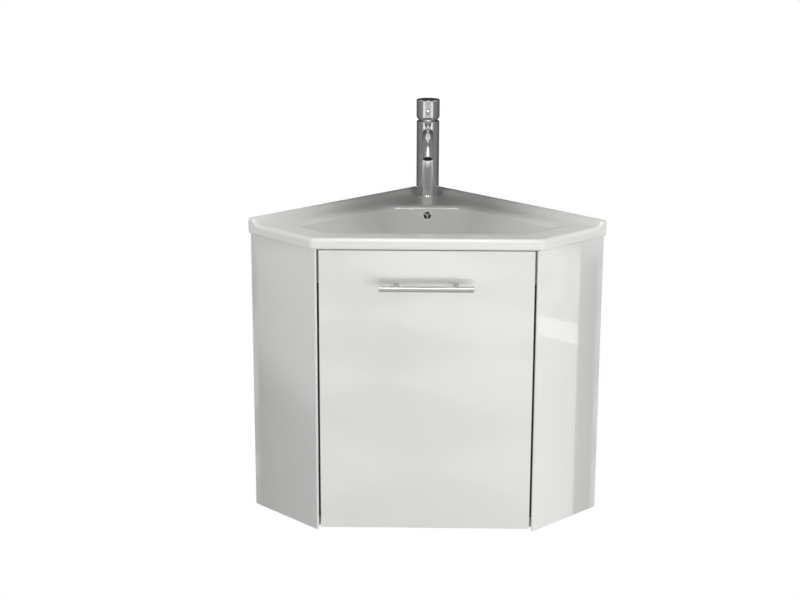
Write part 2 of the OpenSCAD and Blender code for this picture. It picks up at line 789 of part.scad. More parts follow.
module hanging_plates() color("silver") both_sides() difference() {
    for (u = wall_screw_u()) right_wall() translate([u - 30, -rail_v - 2, wall_screw_z - 20])
        cube([60, 2, 40]);
    wall_screw_holes();
    plate_screw_set(runner_screw_r + seat_gap, seat_gap);
}

// Screws that hold the hanging plates to the rail
module plate_screw_set(r, gap) {
    for (u = wall_screw_u(), du = [-22, 22])
        right_wall() translate([u + du, -rail_v - 2, wall_screw_z]) rotate([-90, 0, 0])
            cylinder(r = r, h = 14 + gap);
}

module plate_screws() color("silver") both_sides() {
    plate_screw_set(runner_screw_r, 0);
    for (u = wall_screw_u(), du = [-22, 22])
        right_wall() translate([u + du, -rail_v - 2, wall_screw_z]) rotate([90, 0, 0])
            cylinder(r = 3.6, h = 2);
}

// ---------------------------------------------------------------- drawer

// Rounded front corners in plan; drawn from the front plane backwards
module front_edge_profile(half_w, t, r) {
    polygon(concat([[-half_w, t], [half_w, t]], arc([half_w - r, r], r, 0, -90, 6),
                   arc([-half_w + r, r], r, -90, -180, 6)));
}

module drawer_front() color("white") {
    h = cabinet_h - front_lift - front_top_gap;
    z_mid = front_lift + h / 2;
    difference() {
        intersection() {
            translate([0, nose_y, front_lift]) linear_extrude(h)
                front_edge_profile(front_half_w, front_t, front_edge_r);
            translate([-front_half_w - 1, nose_y, z_mid]) rotate([90, 0, 90])
                linear_extrude(2 * front_half_w + 2) mirror([1, -1])
                front_edge_profile(h / 2, front_t, front_edge_r);
        }
        handle_screw_set(screw_r + seat_gap, 0);
        front_screw_set(screw_r + seat_gap, 0);
    }
}

module bar_turned() {
    r = bar_d / 2;
    bevel = 0.5;
    rotate_extrude() polygon([[0, 0], [r - bevel, 0], [r, bevel], [r, bar_l - bevel],
                              [r - bevel, bar_l], [0, bar_l]]);
}

module handle_bar() color("silver") difference() {
    translate([-bar_l / 2, nose_y - bar_out, handle_z]) rotate([0, 90, 0]) bar_turned();
    handle_post_set(seat_gap);
}

module handle_post_set(gap) {
    for (s = [-1, 1]) translate([s * post_pitch / 2, nose_y, handle_z]) rotate([90, 0, 0])
        cylinder(r = handle_post_d / 2 + gap, h = bar_out - 2 + gap);
}

module handle_posts() color("silver") difference() {
    handle_post_set(0);
    handle_screw_set(screw_r + seat_gap, 1);
}

module handle_screw_set(r, gap) {
    for (s = [-1, 1]) translate([s * post_pitch / 2, nose_y - 14 - gap, handle_z]) rotate([-90, 0, 0])
        cylinder(r = r, h = 14 + front_t + gap);
}

module handle_screws() color("silver") {
    handle_screw_set(screw_r, 0);
    for (s = [-1, 1]) translate([s * post_pitch / 2, front_back_y, handle_z]) rotate([-90, 0, 0])
        cylinder(r = screw_head_r, h = screw_head_h);
}

module front_screw_set(r, head) {
    for (s = [-1, 1], z = [box_lift + 35, box_lift + box_h - 25])
        translate([s * 95, 0, z]) rotate([-90, 0, 0]) {
            translate([0, 0, front_back_y - 11]) cylinder(r = r, h = 11 + box_t);
            if (head > 0) translate([0, 0, front_back_y + box_t]) cylinder(r = screw_head_r, h = head);
        }
}

module front_screws() color("silver") front_screw_set(screw_r, screw_head_h);

module inner_front() color("burlywood") difference() {
    translate([-box_half_w + box_t, box_front_y, box_lift]) cube([box_w - 2 * box_t, box_t, box_h]);
    base_groove();
    front_screw_set(screw_r + seat_gap, 0);
}

// Groove that the drawer base sits in, cut from the boards round it
module base_groove() {
    translate([-box_half_w + box_t - groove_d, box_front_y + box_t - groove_d, base_z - groove_gap])
        cube([box_w - 2 * box_t + 2 * groove_d, box_d - 2 * box_t + 2 * groove_d,
              base_t + 2 * groove_gap]);
}

module right_drawer_side_plain() difference() {
    translate([box_half_w - box_t, box_front_y, box_lift]) cube([box_t, box_d, box_h]);
    base_groove();
    other_side() drawer_screw_set(runner_screw_r + seat_gap);
}
module right_drawer_side() color("burlywood") right_drawer_side_plain();
module left_drawer_side() color("burlywood") other_side() right_drawer_side_plain();

trap_out = trap_half_w + liner_t;
module right_drawer_back_plain() difference() {
    translate([trap_out, box_back_y - box_t, box_lift])
        cube([box_half_w - box_t - trap_out, box_t, box_h]);
    base_groove();
}
module right_drawer_back() color("burlywood") right_drawer_back_plain();
module left_drawer_back() color("burlywood") other_side() right_drawer_back_plain();

// Plan of the trap cut-out: a slot open to the rear with rounded inner corners
module trap_plan(half_w, extra, past) {
    r = 24 + extra;
    y0 = box_back_y - trap_d - extra;
    for (s = [-1, 1]) translate([s * (half_w - r), y0 + r]) circle(r = r);
    translate([-half_w + r, y0]) square([2 * (half_w - r), trap_d + extra + past]);
    translate([-half_w, y0 + r]) square([2 * half_w, trap_d + extra - r + past]);
}

module drawer_base() color("burlywood") difference() {
    translate([-box_half_w + box_t - groove_d + groove_gap,
               box_front_y + box_t - groove_d + groove_gap, base_z])
        cube([box_w - 2 * (box_t - groove_d + groove_gap),
              box_d - 2 * (box_t - groove_d + groove_gap), base_t]);
    translate([0, 0, base_z - 1]) linear_extrude(base_t + 2) trap_plan(trap_half_w, 0, 10);
}

module trap_liner() color("whitesmoke") difference() {
    translate([0, 0, base_z + base_t]) linear_extrude(box_lift + box_h - base_z - base_t)
        trap_plan(trap_out, liner_t, 0);
    translate([0, 0, base_z]) linear_extrude(box_h) trap_plan(trap_half_w, 0, 10);
}

// ---------------------------------------------------------------- runners
// Drawn for the left side: s runs from the partition towards the drawer box

module left_runner() {
    translate([-partition_in, runner_back_y, runner_z]) rotate([90, 0, 0])
        linear_extrude(runner_l) children();
}

// Channel with its web at s0 and its flanges reaching to s1
module channel(s0, s1, half_h) {
    lo = min(s0, s1);
    web = s1 > s0 ? s0 : s0 - runner_t;
    translate([web, -half_h]) square([runner_t, 2 * half_h]);
    for (z = [-half_h, half_h - runner_t]) translate([lo, z]) square([abs(s1 - s0), runner_t]);
}

module left_cabinet_runner_plain() difference() {
    left_runner() channel(0, 9, runner_h / 2);
    cabinet_screw_set(csk_r + seat_gap);
}
module left_cabinet_runner() color("silver") left_cabinet_runner_plain();
module right_cabinet_runner() color("silver") other_side() left_cabinet_runner_plain();

// Balls in their cages, above and below a member's flanges
module ball_rows(s0, half_h) {
    cage_t = 0.8;
    count = 6;
    for (side = [-1, 1]) {
        translate([s0 - partition_in, runner_front_y,
                   runner_z + (side > 0 ? half_h : -half_h - cage_t)])
            cube([3.6, runner_l, cage_t]);
        for (i = [0 : count - 1])
            translate([s0 + 1.8 - partition_in,
                       runner_front_y + 15 + i * (runner_l - 30) / (count - 1),
                       runner_z + side * (half_h + ball_lane / 2)])
                sphere(r = ball_d / 2, $fn = 32);
    }
}

module left_middle_runner_plain() {
    left_runner() channel(middle_web_s, 10.4, middle_half_h);
    ball_rows(4.2, middle_half_h);
}
module left_middle_runner() color("gray") left_middle_runner_plain();
module right_middle_runner() color("gray") other_side() left_middle_runner_plain();

module left_drawer_runner_plain() difference() {
    union() {
        left_runner() channel(runner_w, 5.2, inner_half_h);
        ball_rows(6, inner_half_h);
    }
    drawer_screw_set(csk_r + seat_gap);
}
module left_drawer_runner() color("silver") left_drawer_runner_plain();
module right_drawer_runner() color("silver") other_side() left_drawer_runner_plain();

function runner_screw_y() = [runner_front_y + 30, runner_back_y - 30];

module cabinet_screw_set(r) {
    for (y = runner_screw_y()) translate([-partition_in, y, runner_z]) rotate([0, -90, 0])
        translate([0, 0, -runner_t - 0.5]) cylinder(r = r, h = runner_t + 12.5);
}

module drawer_screw_set(r) {
    for (y = runner_screw_y()) translate([-box_half_w, y, runner_z]) rotate([0, 90, 0])
        translate([0, 0, -runner_t - 0.5]) cylinder(r = r, h = runner_t + 9.5);
}

// Flat-headed screws: the head fills the sheet, the shank goes into the board
module flat_screw(l) {
    cylinder(r = runner_screw_r, h = runner_t + l);
    cylinder(r = csk_r, h = runner_t);
}

module cabinet_runner_screws() color("gray") both_sides()
    for (y = runner_screw_y()) translate([-partition_in + runner_t, y, runner_z])
        rotate([0, -90, 0]) flat_screw(12 - seat_gap);

module drawer_runner_screws() color("gray") both_sides()
    for (y = runner_screw_y()) translate([-box_half_w - runner_t, y, runner_z])
        rotate([0, 90, 0]) flat_screw(9 - seat_gap);

basin();
overflow_ring();
waste_flange();
plug_guide();
flange_seal();
waste_plug();
lower_seal();
waste_nut();
tail_nut();
tail_pipe();
mixer_body();
mixer_base_ring();
aerator_shell();
aerator_insert();
cartridge();
cartridge_nut();
cartridge_carrier();
stem_pin();
cartridge_stem();
mixer_head();
pin_lever();
fixing_stud();
deck_gasket();
deck_washer();
stud_nut();
left_side_panel();
right_side_panel();
bottom_panel();
corner_post();
left_upper_rail();
right_upper_rail();
left_lower_rail();
right_lower_rail();
front_top_rail();
front_stiles();
left_partition();
right_partition();
cam_fittings();
hanging_plates();
plate_screws();
drawer_front();
handle_bar();
handle_posts();
handle_screws();
front_screws();
inner_front();
left_drawer_side();
right_drawer_side();
left_drawer_back();
right_drawer_back();
drawer_base();
trap_liner();
left_cabinet_runner();
right_cabinet_runner();
left_middle_runner();
right_middle_runner();
left_drawer_runner();
right_drawer_runner();
cabinet_runner_screws();
drawer_runner_screws();
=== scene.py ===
# %% [markdown]
# # A corner vanity unit
#
# The object is a small wash place for the corner of a room: a white ceramic basin with five sides,
# a wall-hung cabinet under it with one drawer, a bar handle, and a pillar mixer with a pin lever.
# The solid model is loaded first. It gives every size and every joint, and nothing in this lesson
# moves it. Blender's work is the surface: smooth lofts where the solid model is faceted, small
# parts too fine for it, and a procedural finish on each piece.

# %% Load the solid model
import json
from functools import partial
from math import acos, atan2, cos, hypot, pi, radians, sin, sqrt, tan

import bmesh
import bpy
from mathutils import Matrix, Vector
from mathutils.geometry import delaunay_2d_cdt


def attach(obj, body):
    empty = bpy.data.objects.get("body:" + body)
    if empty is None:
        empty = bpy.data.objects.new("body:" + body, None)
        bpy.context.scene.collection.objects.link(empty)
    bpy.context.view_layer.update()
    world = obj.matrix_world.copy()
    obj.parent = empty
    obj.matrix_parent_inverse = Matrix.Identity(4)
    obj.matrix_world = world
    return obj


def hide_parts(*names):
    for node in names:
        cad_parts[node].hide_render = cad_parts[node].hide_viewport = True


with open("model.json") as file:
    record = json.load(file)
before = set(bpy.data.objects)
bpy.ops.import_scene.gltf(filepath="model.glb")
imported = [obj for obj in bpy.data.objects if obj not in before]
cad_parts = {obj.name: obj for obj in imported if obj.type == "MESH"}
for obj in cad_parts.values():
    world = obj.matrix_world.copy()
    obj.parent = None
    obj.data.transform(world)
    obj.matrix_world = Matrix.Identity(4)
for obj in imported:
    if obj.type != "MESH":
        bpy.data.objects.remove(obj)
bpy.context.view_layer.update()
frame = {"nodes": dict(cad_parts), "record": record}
nodes = frame["nodes"]

# %% [markdown]
# ## The sizes that later cells share
#
# All lengths are in metres. Z starts at the cabinet's underside, the room corner is at X = Y = 0,
# and the viewer stands at negative Y. The two walls run off at 45 degrees, so a point is easiest
# to name by u, its distance along a wall, and v, its distance off that wall.

# %% Shared sizes
ROOT2 = sqrt(2)
WALL_LEG, SHORT_SIDE = 0.422, 0.159
CABINET_TOP = 0.480
RIM_Z = CABINET_TOP + 0.0185
UPSTAND_Z = CABINET_TOP + 0.027
UNDERSIDE_Z = RIM_Z - 0.013


def plan(u, v):
    """A point by its place along the right-hand wall (u) and off it (v)."""
    return Vector(((u - v) / ROOT2, -(u + v) / ROOT2))


FRONT_Y = plan(WALL_LEG, SHORT_SIDE).y
NOSE_Y = FRONT_Y + 0.001
print("front of the basin at", round(FRONT_Y, 4), "front of the cabinet at", round(NOSE_Y, 4))

# %% [markdown]
# ## Small helpers
#
# A few things happen again and again: an object is made for some data, a mesh gets smooth shading
# with its sharp edges kept, a node is put into a tree with its inputs linked or set, and a value is
# taken some way between two others.

# %% Helpers
def new_object(name, data):
    """An object for a mesh, lamp or camera, linked into the scene."""
    thing = bpy.data.objects.new(name, data)
    bpy.context.scene.collection.objects.link(thing)
    return thing


def smooth(mesh, sharp_degrees):
    """Smooth shading, apart from edges that turn by more than an angle."""
    mesh.shade_smooth()
    mesh.set_sharp_from_angle(angle=radians(sharp_degrees))


def plain_copy(thing):
    """The object's mesh with its modifiers worked out."""
    return bpy.data.meshes.new_from_object(thing.evaluated_get(bpy.context.evaluated_depsgraph_get()))


def wire(tree, kind, *sources, **settings):
    """A node with its settings made and its first inputs linked or set, in order."""
    node = tree.nodes.new(kind)
    for key, value in settings.items():
        setattr(node, key, value)
    for socket, source in zip([s for s in node.inputs if s.enabled], sources):
        if isinstance(source, bpy.types.NodeSocket):
            tree.links.new(source, socket)
        elif source is not None:
            socket.default_value = source
    return node


def math_node(tree, operation, *values):
    """The result of a Math node: each value may be a number or a socket."""
    return wire(tree, "ShaderNodeMath", *values, operation=operation).outputs[0]


def part_of(values, share):
    """A value on the way from the first to the second of a pair."""
    return values[0] + (values[1] - values[0]) * share


def soft_step(share):
    """Zero below 0, one above 1, and a smooth rise between."""
    share = min(max(share, 0), 1)
    return share * share * (3 - 2 * share)


# %% [markdown]
# ## Camera
#
# The photograph is taken with a short telephoto lens from about three metres, a little above the
# basin. The camera's three axes come from its yaw, pitch and roll, and go straight into its
# matrix, so no helper that depends on the render size is needed.

# %% Camera
YAW, PITCH, ROLL = radians(0.994), radians(15.16), radians(-0.174)
CAMERA_AT = Vector((0.0032, -3.0478, 1.1125))
SENSOR_MM, LENS_MM, SIGHT_END = 36.0, 76.51, 50.0
ahead = Vector((-sin(YAW) * cos(PITCH), cos(YAW) * cos(PITCH), -sin(PITCH)))
level_right = Vector((cos(YAW), sin(YAW), 0.0))
level_up = level_right.cross(ahead)
right = level_right * cos(ROLL) - level_up * sin(ROLL)
up = level_right * sin(ROLL) + level_up * cos(ROLL)

camera_data = bpy.data.cameras.new("camera")
camera_data.sensor_width, camera_data.lens, camera_data.clip_end = SENSOR_MM, LENS_MM, SIGHT_END
camera = new_object("camera", camera_data)
turn = Matrix((right, up, -ahead)).transposed()
camera.matrix_world = Matrix.Translation(CAMERA_AT) @ turn.to_4x4()
bpy.context.scene.camera = camera
print("camera looks along", [round(c, 4) for c in ahead])

# %% [markdown]
# ## Floor, walls and light
#
# The unit hangs on a wall, so the floor is a third of a metre below it. The photograph's ground is
# plain white. That comes from the floor's own material: a camera ray meets plain white there, a
# mirror ray meets large tiles that glow, a painted reflection, and every other ray meets a pale matt
# floor, which sends soft light back up. Seen from below the floor is clear. The tiles are laid at 45
# degrees, square to the walls, and the gloss front shows them as faint lozenges. Their glow is
# painted darker near the unit and far away: painted shade.

# %% Helpers for the stage
def ramp_up(tree, value, start, end, low=0.0, high=1.0):
    """Rises smoothly from low to high while the value goes from start to end."""
    return wire(tree, "ShaderNodeMapRange", value, start, end, low, high,
                interpolation_type="SMOOTHSTEP").outputs["Result"]


def mix_shaders(tree, factor, first, second):
    """Two shaders by a factor socket."""
    return wire(tree, "ShaderNodeMixShader", factor, first, second).outputs[0]


def emission(tree, strength):
    """White light of a strength that may be a number or a socket."""
    return wire(tree, "ShaderNodeEmission", (1, 1, 1, 1), strength).outputs["Emission"]


def noise(tree, vector, scale, detail=2.0, distortion=0.0):
    """Soft random pattern with about `scale` lumps per metre."""
    return wire(tree, "ShaderNodeTexNoise", vector, scale, detail, None, None, distortion).outputs["Fac"]


def place_parts(tree, kind="Object"):
    """The X, Y and Z of the shaded place or of the view's direction."""
    where = tree.nodes.new("ShaderNodeTexCoord")
    return wire(tree, "ShaderNodeSeparateXYZ", where.outputs[kind]).outputs


def empty_material(name):
    """A material with nothing but its output: the material, its tree and the surface socket."""
    finish = bpy.data.materials.new(name)
    finish.use_nodes = True
    tree = finish.node_tree
    tree.nodes.clear()
    return finish, tree, tree.nodes.new("ShaderNodeOutputMaterial").inputs["Surface"]


def glowing(name, strength):
    """A material that only glows."""
    finish, tree, surface = empty_material(name)
    tree.links.new(emission(tree, strength), surface)
    return finish


def card(name, centre, across, upward, finish, seen=False):
    """A flat sheet in the room, given by its centre and its two half sides."""
    centre, across, upward = Vector(centre), Vector(across), Vector(upward)
    mesh = bpy.data.meshes.new(name)
    mesh.from_pydata([centre - across - upward, centre + across - upward,
                      centre + across + upward, centre - across + upward], [], [(0, 1, 2, 3)])
    mesh.materials.append(finish)
    sheet = new_object(name, mesh)
    sheet.visible_camera = seen
    return sheet


# %% Floor
FLOOR_Z, FLOOR_HALF, FLOOR_TONE = -0.37, 9, 0.42
TILE, TILE_ORIGIN, TILE_TURN = (0.566, 0.409), (-0.002, -1.696), radians(45)
TILE_GLOWS = (0.78, 1.93)
# each shade: where in Y it starts and ends, and the factors there
NEAR_SHADE, FAR_SHADE = (-4.0, -1.2, 1.0, 0.48), (-7.5, -4.5, 0.35, 1.0)

floor_finish, tree, surface = empty_material("floor_white")
matt = wire(tree, "ShaderNodeBsdfDiffuse", (FLOOR_TONE, FLOOR_TONE, FLOOR_TONE, 1))
where = tree.nodes.new("ShaderNodeTexCoord").outputs["Object"]
laid = wire(tree, "ShaderNodeMapping", where, (*TILE_ORIGIN, FLOOR_Z - 0.5), (0, 0, TILE_TURN), (*TILE, 1.0),
            vector_type="TEXTURE")
tiles = wire(tree, "ShaderNodeTexChecker", laid.outputs["Vector"], None, None, 1.0)
# the tiles' glow, seen only by mirror rays: a painted reflection, dimmed near and far by painted shade
tile_glow = ramp_up(tree, tiles.outputs["Fac"], 0.0, 1.0, *TILE_GLOWS)
away = place_parts(tree)["Y"]
for shade in (NEAR_SHADE, FAR_SHADE):
    tile_glow = math_node(tree, "MULTIPLY", tile_glow, ramp_up(tree, away, *shade))
rays = tree.nodes.new("ShaderNodeLightPath").outputs
camera_or_glass = math_node(tree, "MAXIMUM", rays["Is Camera Ray"], rays["Is Transmission Ray"])
mirrored = mix_shaders(tree, rays["Is Glossy Ray"], matt.outputs["BSDF"], emission(tree, tile_glow))
shown = mix_shaders(tree, camera_or_glass, mirrored, emission(tree, 1.0))
clear = tree.nodes.new("ShaderNodeBsdfTransparent").outputs["BSDF"]
side = tree.nodes.new("ShaderNodeNewGeometry")
tree.links.new(mix_shaders(tree, side.outputs["Backfacing"], shown, clear), surface)
card("floor", (0, 0, FLOOR_Z), (FLOOR_HALF, 0, 0), (0, FLOOR_HALF, 0), floor_finish, True)
print("floor at", FLOOR_Z, "m, tiles", TILE)

# %% [markdown]
# The world is white to the camera. Its light is soft and a trace warm. The mirror finishes see a
# bright front, a darker back and a dim horizon, as they would in a room whose window is high up
# behind the viewer.

# %% World
SKY, SKY_MIRROR_BACK, SKY_MIRROR_FRONT = 0.58, 0.45, 1.10
BACK_Y, AHEAD_Y = 0.6, -0.9
HORIZON, CLEAR_OF_HORIZON = 0.50, 0.35
WARM = (1.0, 0.99, 0.962)
world = bpy.data.worlds.new("studio")
bpy.context.scene.world = world
world.use_nodes = True
tree = world.node_tree
tree.nodes.clear()


def background(strength, colour):
    return wire(tree, "ShaderNodeBackground", (*colour, 1), strength).outputs["Background"]


rays = tree.nodes.new("ShaderNodeLightPath").outputs
way = place_parts(tree, "Generated")
mirror_sky = ramp_up(tree, way["Y"], BACK_Y, AHEAD_Y, SKY_MIRROR_BACK, SKY_MIRROR_FRONT)
mirror_sky = math_node(tree, "MULTIPLY", mirror_sky,
                       ramp_up(tree, way["Z"], 0.0, CLEAR_OF_HORIZON, HORIZON, 1.0))
unseen = mix_shaders(tree, rays["Is Glossy Ray"], background(SKY, WARM), background(mirror_sky, WARM))
all_sky = mix_shaders(tree, rays["Is Camera Ray"], unseen, background(1.0, (1, 1, 1)))
tree.links.new(all_sky, tree.nodes.new("ShaderNodeOutputWorld").inputs["Surface"])
bpy.context.scene.view_settings.view_transform = "Standard"
print("world", SKY, "mirrored", SKY_MIRROR_BACK, "to", SKY_MIRROR_FRONT)

# %% [markdown]
# Two sheets stand where the room's walls are. The camera doesn't see them, but the basin's deck,
# the chrome and the gloss side panels do. They leave out the part behind the cabinet, so that the
# cabinet's back can still be looked at. Each glows by a pattern in u, the distance from the room
# corner, and in z: dark in the corner and close to the unit, lighter outwards. The right-hand one
# has a vertical edge beside the cabinet and one bright band, which the right-hand panel mirrors.
# The left-hand one has a slanted edge.

# %% Wall sheets
OPEN_U, WALL_END_U, WALL_TOP = 0.430, 1.60, 2.10
LEDGE_Z = UPSTAND_Z + 0.0006
BAND_LOW, BAND_HIGH = 0.279, 0.315
UPPER_PART = (0.430, 0.460)
MOTTLE, MOTTLE_MIDDLE, MOTTLE_DOWN, MOTTLE_UP = (28.0, 4.0), (0.35, 0.65), 0.25, 0.20
# what mirrors see above the basin: ramps in u (start, end and the glow at each), patches by ramps in z
CORNER_GLOW, OUTER_GLOW = (0.02, 0.12, 0.06, 0.27), (0.16, 0.40, 0.0, 0.20)
STREAK_GLOW, STREAK_RISE, STREAK_FALL = (0.026, 0.010, 0.0, 0.60), (0.53, 0.57), (0.62, 0.65)
HIGH_GLOW, HIGH_RISE = (0.102, 0.092, 0.0, 0.8), (0.69, 0.72)
# what lights the matt surfaces: ramps in u, each with the glow that isn't the wall's own fill
UPPER_LIGHT, LOW_LIGHT_U, LOW_LIGHT = (0.22, 0.42, 0.06), (0.43, 0.64), 0.52


def blend(tree, first, second, share):
    """A value that goes from the first to the second by a share."""
    return math_node(tree, "MULTIPLY_ADD", math_node(tree, "SUBTRACT", second, first), share, first)


def wall_finish(name, edge_u, slant, lit, shade, band, fill, low_fill):
    """A glowing wall: lit beyond an edge in u, in shade near the unit, with an optional band."""
    finish, tree, surface = empty_material(name)
    parts = place_parts(tree)
    u = math_node(tree, "MULTIPLY", math_node(tree, "ABSOLUTE", parts["X"]), ROOT2)
    z = parts["Z"]
    # mirrored beside the cabinet
    where = tree.nodes.new("ShaderNodeTexCoord").outputs["Object"]
    mottle = ramp_up(tree, noise(tree, where, *MOTTLE), *MOTTLE_MIDDLE,
                     lit - band * MOTTLE_DOWN, lit + band * MOTTLE_UP)
    plain = blend(tree, lit, mottle, math_node(tree, "GREATER_THAN", z, BAND_HIGH))
    in_band = math_node(tree, "MULTIPLY", math_node(tree, "LESS_THAN", z, BAND_HIGH),
                        math_node(tree, "GREATER_THAN", z, BAND_LOW))
    bright = math_node(tree, "MULTIPLY_ADD", in_band, band, plain)
    edge = math_node(tree, "MULTIPLY_ADD", z, slant, u)
    beside = blend(tree, shade, bright, ramp_up(tree, edge, *edge_u))
    # mirrored above the basin
    walls = math_node(tree, "ADD", ramp_up(tree, u, *CORNER_GLOW), ramp_up(tree, u, *OUTER_GLOW))
    streak_z = math_node(tree, "SUBTRACT", ramp_up(tree, z, *STREAK_RISE), ramp_up(tree, z, *STREAK_FALL))
    for glow, patch in ((STREAK_GLOW, streak_z), (HIGH_GLOW, ramp_up(tree, z, *HIGH_RISE))):
        walls = math_node(tree, "MULTIPLY_ADD", ramp_up(tree, u, *glow), patch, walls)
    upper = ramp_up(tree, z, *UPPER_PART)
    seen = blend(tree, beside, walls, upper)
    # what lights the matt surfaces
    lighting = blend(tree, ramp_up(tree, u, *LOW_LIGHT_U, low_fill, LOW_LIGHT),
                     ramp_up(tree, u, *UPPER_LIGHT, fill), upper)
    rays = tree.nodes.new("ShaderNodeLightPath").outputs
    tree.links.new(emission(tree, blend(tree, lighting, seen, rays["Is Glossy Ray"])), surface)
    return finish


WALLS = {
    "right_wall": (1, dict(edge_u=(0.466, 0.470), slant=0.0, lit=1.60, shade=0.12, band=1.0,
                           fill=0.60, low_fill=0.08)),
    "left_wall": (-1, dict(edge_u=(0.640, 0.750), slant=1.0, lit=1.00, shade=0.12, band=0.0,
                           fill=0.72, low_fill=0.28)),
}
SHEETS = {"upper": (-0.002, OPEN_U, LEDGE_Z), "outer": (OPEN_U, WALL_END_U, FLOOR_Z + 0.001)}
for name, (side, looks) in WALLS.items():
    finish = wall_finish(name + "_glow", **looks)
    for sheet, (u0, u1, z0) in SHEETS.items():
        middle, half = (u0 + u1) / 2 / ROOT2, (u1 - u0) / 2 / ROOT2
        card(name + "_" + sheet, (side * middle, -middle, (z0 + WALL_TOP) / 2), (side * half, -half, 0),
             (0, 0, (WALL_TOP - z0) / 2), finish)
print("walls open behind the cabinet up to u =", OPEN_U)

# %% [markdown]
# A wide low box beside the camera on the right gives the fronts their order: the drawer front is
# the brightest, then the right-hand panel, then the left. It stays below the rim, so the bowl keeps
# its shade. A box overhead lifts the deck, and a black flag under it keeps the corner dark. A long
# panel that only mirror rays see draws the bright line on the rear lip. It would also draw a white
# line on the front rim, so a small dark card that only mirror rays meet hangs over that rim. One
# more box stands behind, for whoever walks round the object.

# %% Lamps
# place, the point it aims at, size, power, whether it lights matt surfaces, whether mirrors see it
LAMPS = {
    "front_box": ((0.85, -2.45, 0.05), (0.0, -0.35, 0.25), (2.0, 0.8), 22.0, True, False),
    "top_box": ((0.0, -0.75, 2.3), (0.0, -0.25, 0.5), (0.7, 0.7), 8.4, True, False),
    "lip_panel": ((0.0, -1.20, 2.3), (0.0, -0.15, 0.5), (0.5, 1.7), 34.0, False, True),
    "rear_box": ((0.0, 2.8, 0.3), (0.0, 0.0, 0.2), (2.0, 2.0), 25.0, True, True),
}
for name, (place, aim, size, power, lights, mirrored) in LAMPS.items():
    lamp_data = bpy.data.lights.new(name, "AREA")
    lamp_data.shape = "RECTANGLE"
    lamp_data.size, lamp_data.size_y = size
    lamp_data.energy, lamp_data.color = power, WARM
    lamp = new_object(name, lamp_data)
    lamp.location = place
    lamp.rotation_euler = (Vector(aim) - Vector(place)).to_track_quat("-Z", "Y").to_euler()
    lamp.visible_camera, lamp.visible_diffuse, lamp.visible_glossy = False, lights, mirrored
    print(name, "at", place, power, "W")

FLAG_AT, FLAG_HALF, FLAG_TONE = (0, -0.15, 0.72), (0.14, 0.15), 0.08
RIM_CARD_AT, RIM_CARD_HALF, RIM_CARD_TONE = (0, -0.4725, 0.56), (0.27, 0.0475), 0.05
flag = card("flag", FLAG_AT, (FLAG_HALF[0], 0, 0), (0, FLAG_HALF[1], 0), glowing("flag_black", FLAG_TONE))
flag.visible_glossy = False
rim_card = card("rim_card", RIM_CARD_AT, (RIM_CARD_HALF[0], 0, 0), (0, RIM_CARD_HALF[1], 0),
                glowing("rim_card_grey", RIM_CARD_TONE))
rim_card.visible_diffuse = rim_card.visible_shadow = rim_card.visible_transmission = False

# %% [markdown]
# ## Finishes
#
# Each finish is a small node tree on one shader. Patterns are laid out in Object coordinates, in
# metres, so a grain of half a millimetre has the same size on every piece. The helpers below make
# the few kinds of node that all finishes share.

# %% Helpers for finishes
FINISHES = {}


def new_finish(name, **sockets):
    """A finish with one main shader: gives the material, its tree and the shader."""
    finish, tree, surface = empty_material(name)
    shader = tree.nodes.new("ShaderNodeBsdfPrincipled")
    tree.links.new(shader.outputs["BSDF"], surface)
    for socket, value in sockets.items():
        shader.inputs[socket.replace("_", " ")].default_value = value
    return finish, tree, shader


def coordinates(tree, scale=(1, 1, 1), turn=(0, 0, 0)):
    """The place on the object, in metres, stretched or turned for a pattern."""
    where = tree.nodes.new("ShaderNodeTexCoord").outputs["Object"]
    return wire(tree, "ShaderNodeMapping", where, None, turn, scale).outputs["Vector"]


def spread(tree, factor, low, high, start=0.35, end=0.65):
    """Stretches a pattern's middle values over the range from low to high."""
    return wire(tree, "ShaderNodeMapRange", factor, start, end, low, high).outputs["Result"]


def blend_colours(tree, factor, first, second):
    """A colour between two by a factor; each may be a plain colour or a socket."""
    ends = [c if isinstance(c, bpy.types.NodeSocket) else (*c, 1) for c in (first, second)]
    mix = wire(tree, "ShaderNodeMix", factor, *ends, data_type="RGBA")
    return next(s for s in mix.outputs if s.enabled)


def dress(tree, shader, colour, roughness):
    """Patterns for the shader's colour and roughness."""
    tree.links.new(colour, shader.inputs["Base Color"])
    tree.links.new(roughness, shader.inputs["Roughness"])


def relief(tree, shader, height, depth, under=None):
    """Raises the surface by a pattern, `depth` metres high; more than one can be stacked."""
    raised = wire(tree, "ShaderNodeBump", None, depth, None, height, under).outputs["Normal"]
    tree.links.new(raised, shader.inputs["Normal"])
    return raised


def recipe(name, colours, tone, gloss, wear, *bumps, **sockets):
    """What most finishes share: one pattern for the tone, one for the gloss, and reliefs on top."""
    finish, tree, shader = new_finish(name, **sockets)
    where = coordinates(tree)
    dress(tree, shader, blend_colours(tree, noise(tree, where, *tone), *colours),
          spread(tree, noise(tree, where, *wear), *gloss))
    under = None
    for *pattern, depth in bumps:
        under = relief(tree, shader, noise(tree, where, *pattern), depth, under)
    return finish


# %% [markdown]
# **Glaze and lacquer.** Both are a white body under a clear gloss. The glaze has run a little in
# the kiln, so its surface waves slowly, and the lacquer has the fine orange peel of a sprayed or
# pressed sheet. Even its widest waves are only half a millimetre high: enough to soften a reflection.

# %% Glazed ceramic
FINISHES["glazed_ceramic"] = recipe(
    "glaze", ((0.845, 0.845, 0.835), (0.875, 0.875, 0.868)), (9.0, 3.0), (0.17, 0.25), (14.0, 4.0),
    (26.0, 2.0, 0.00012), (420.0, 3.0, 0.000012), IOR=1.5, Coat_Weight=0.15, Coat_Roughness=0.10)
print("glaze made by the recipe")

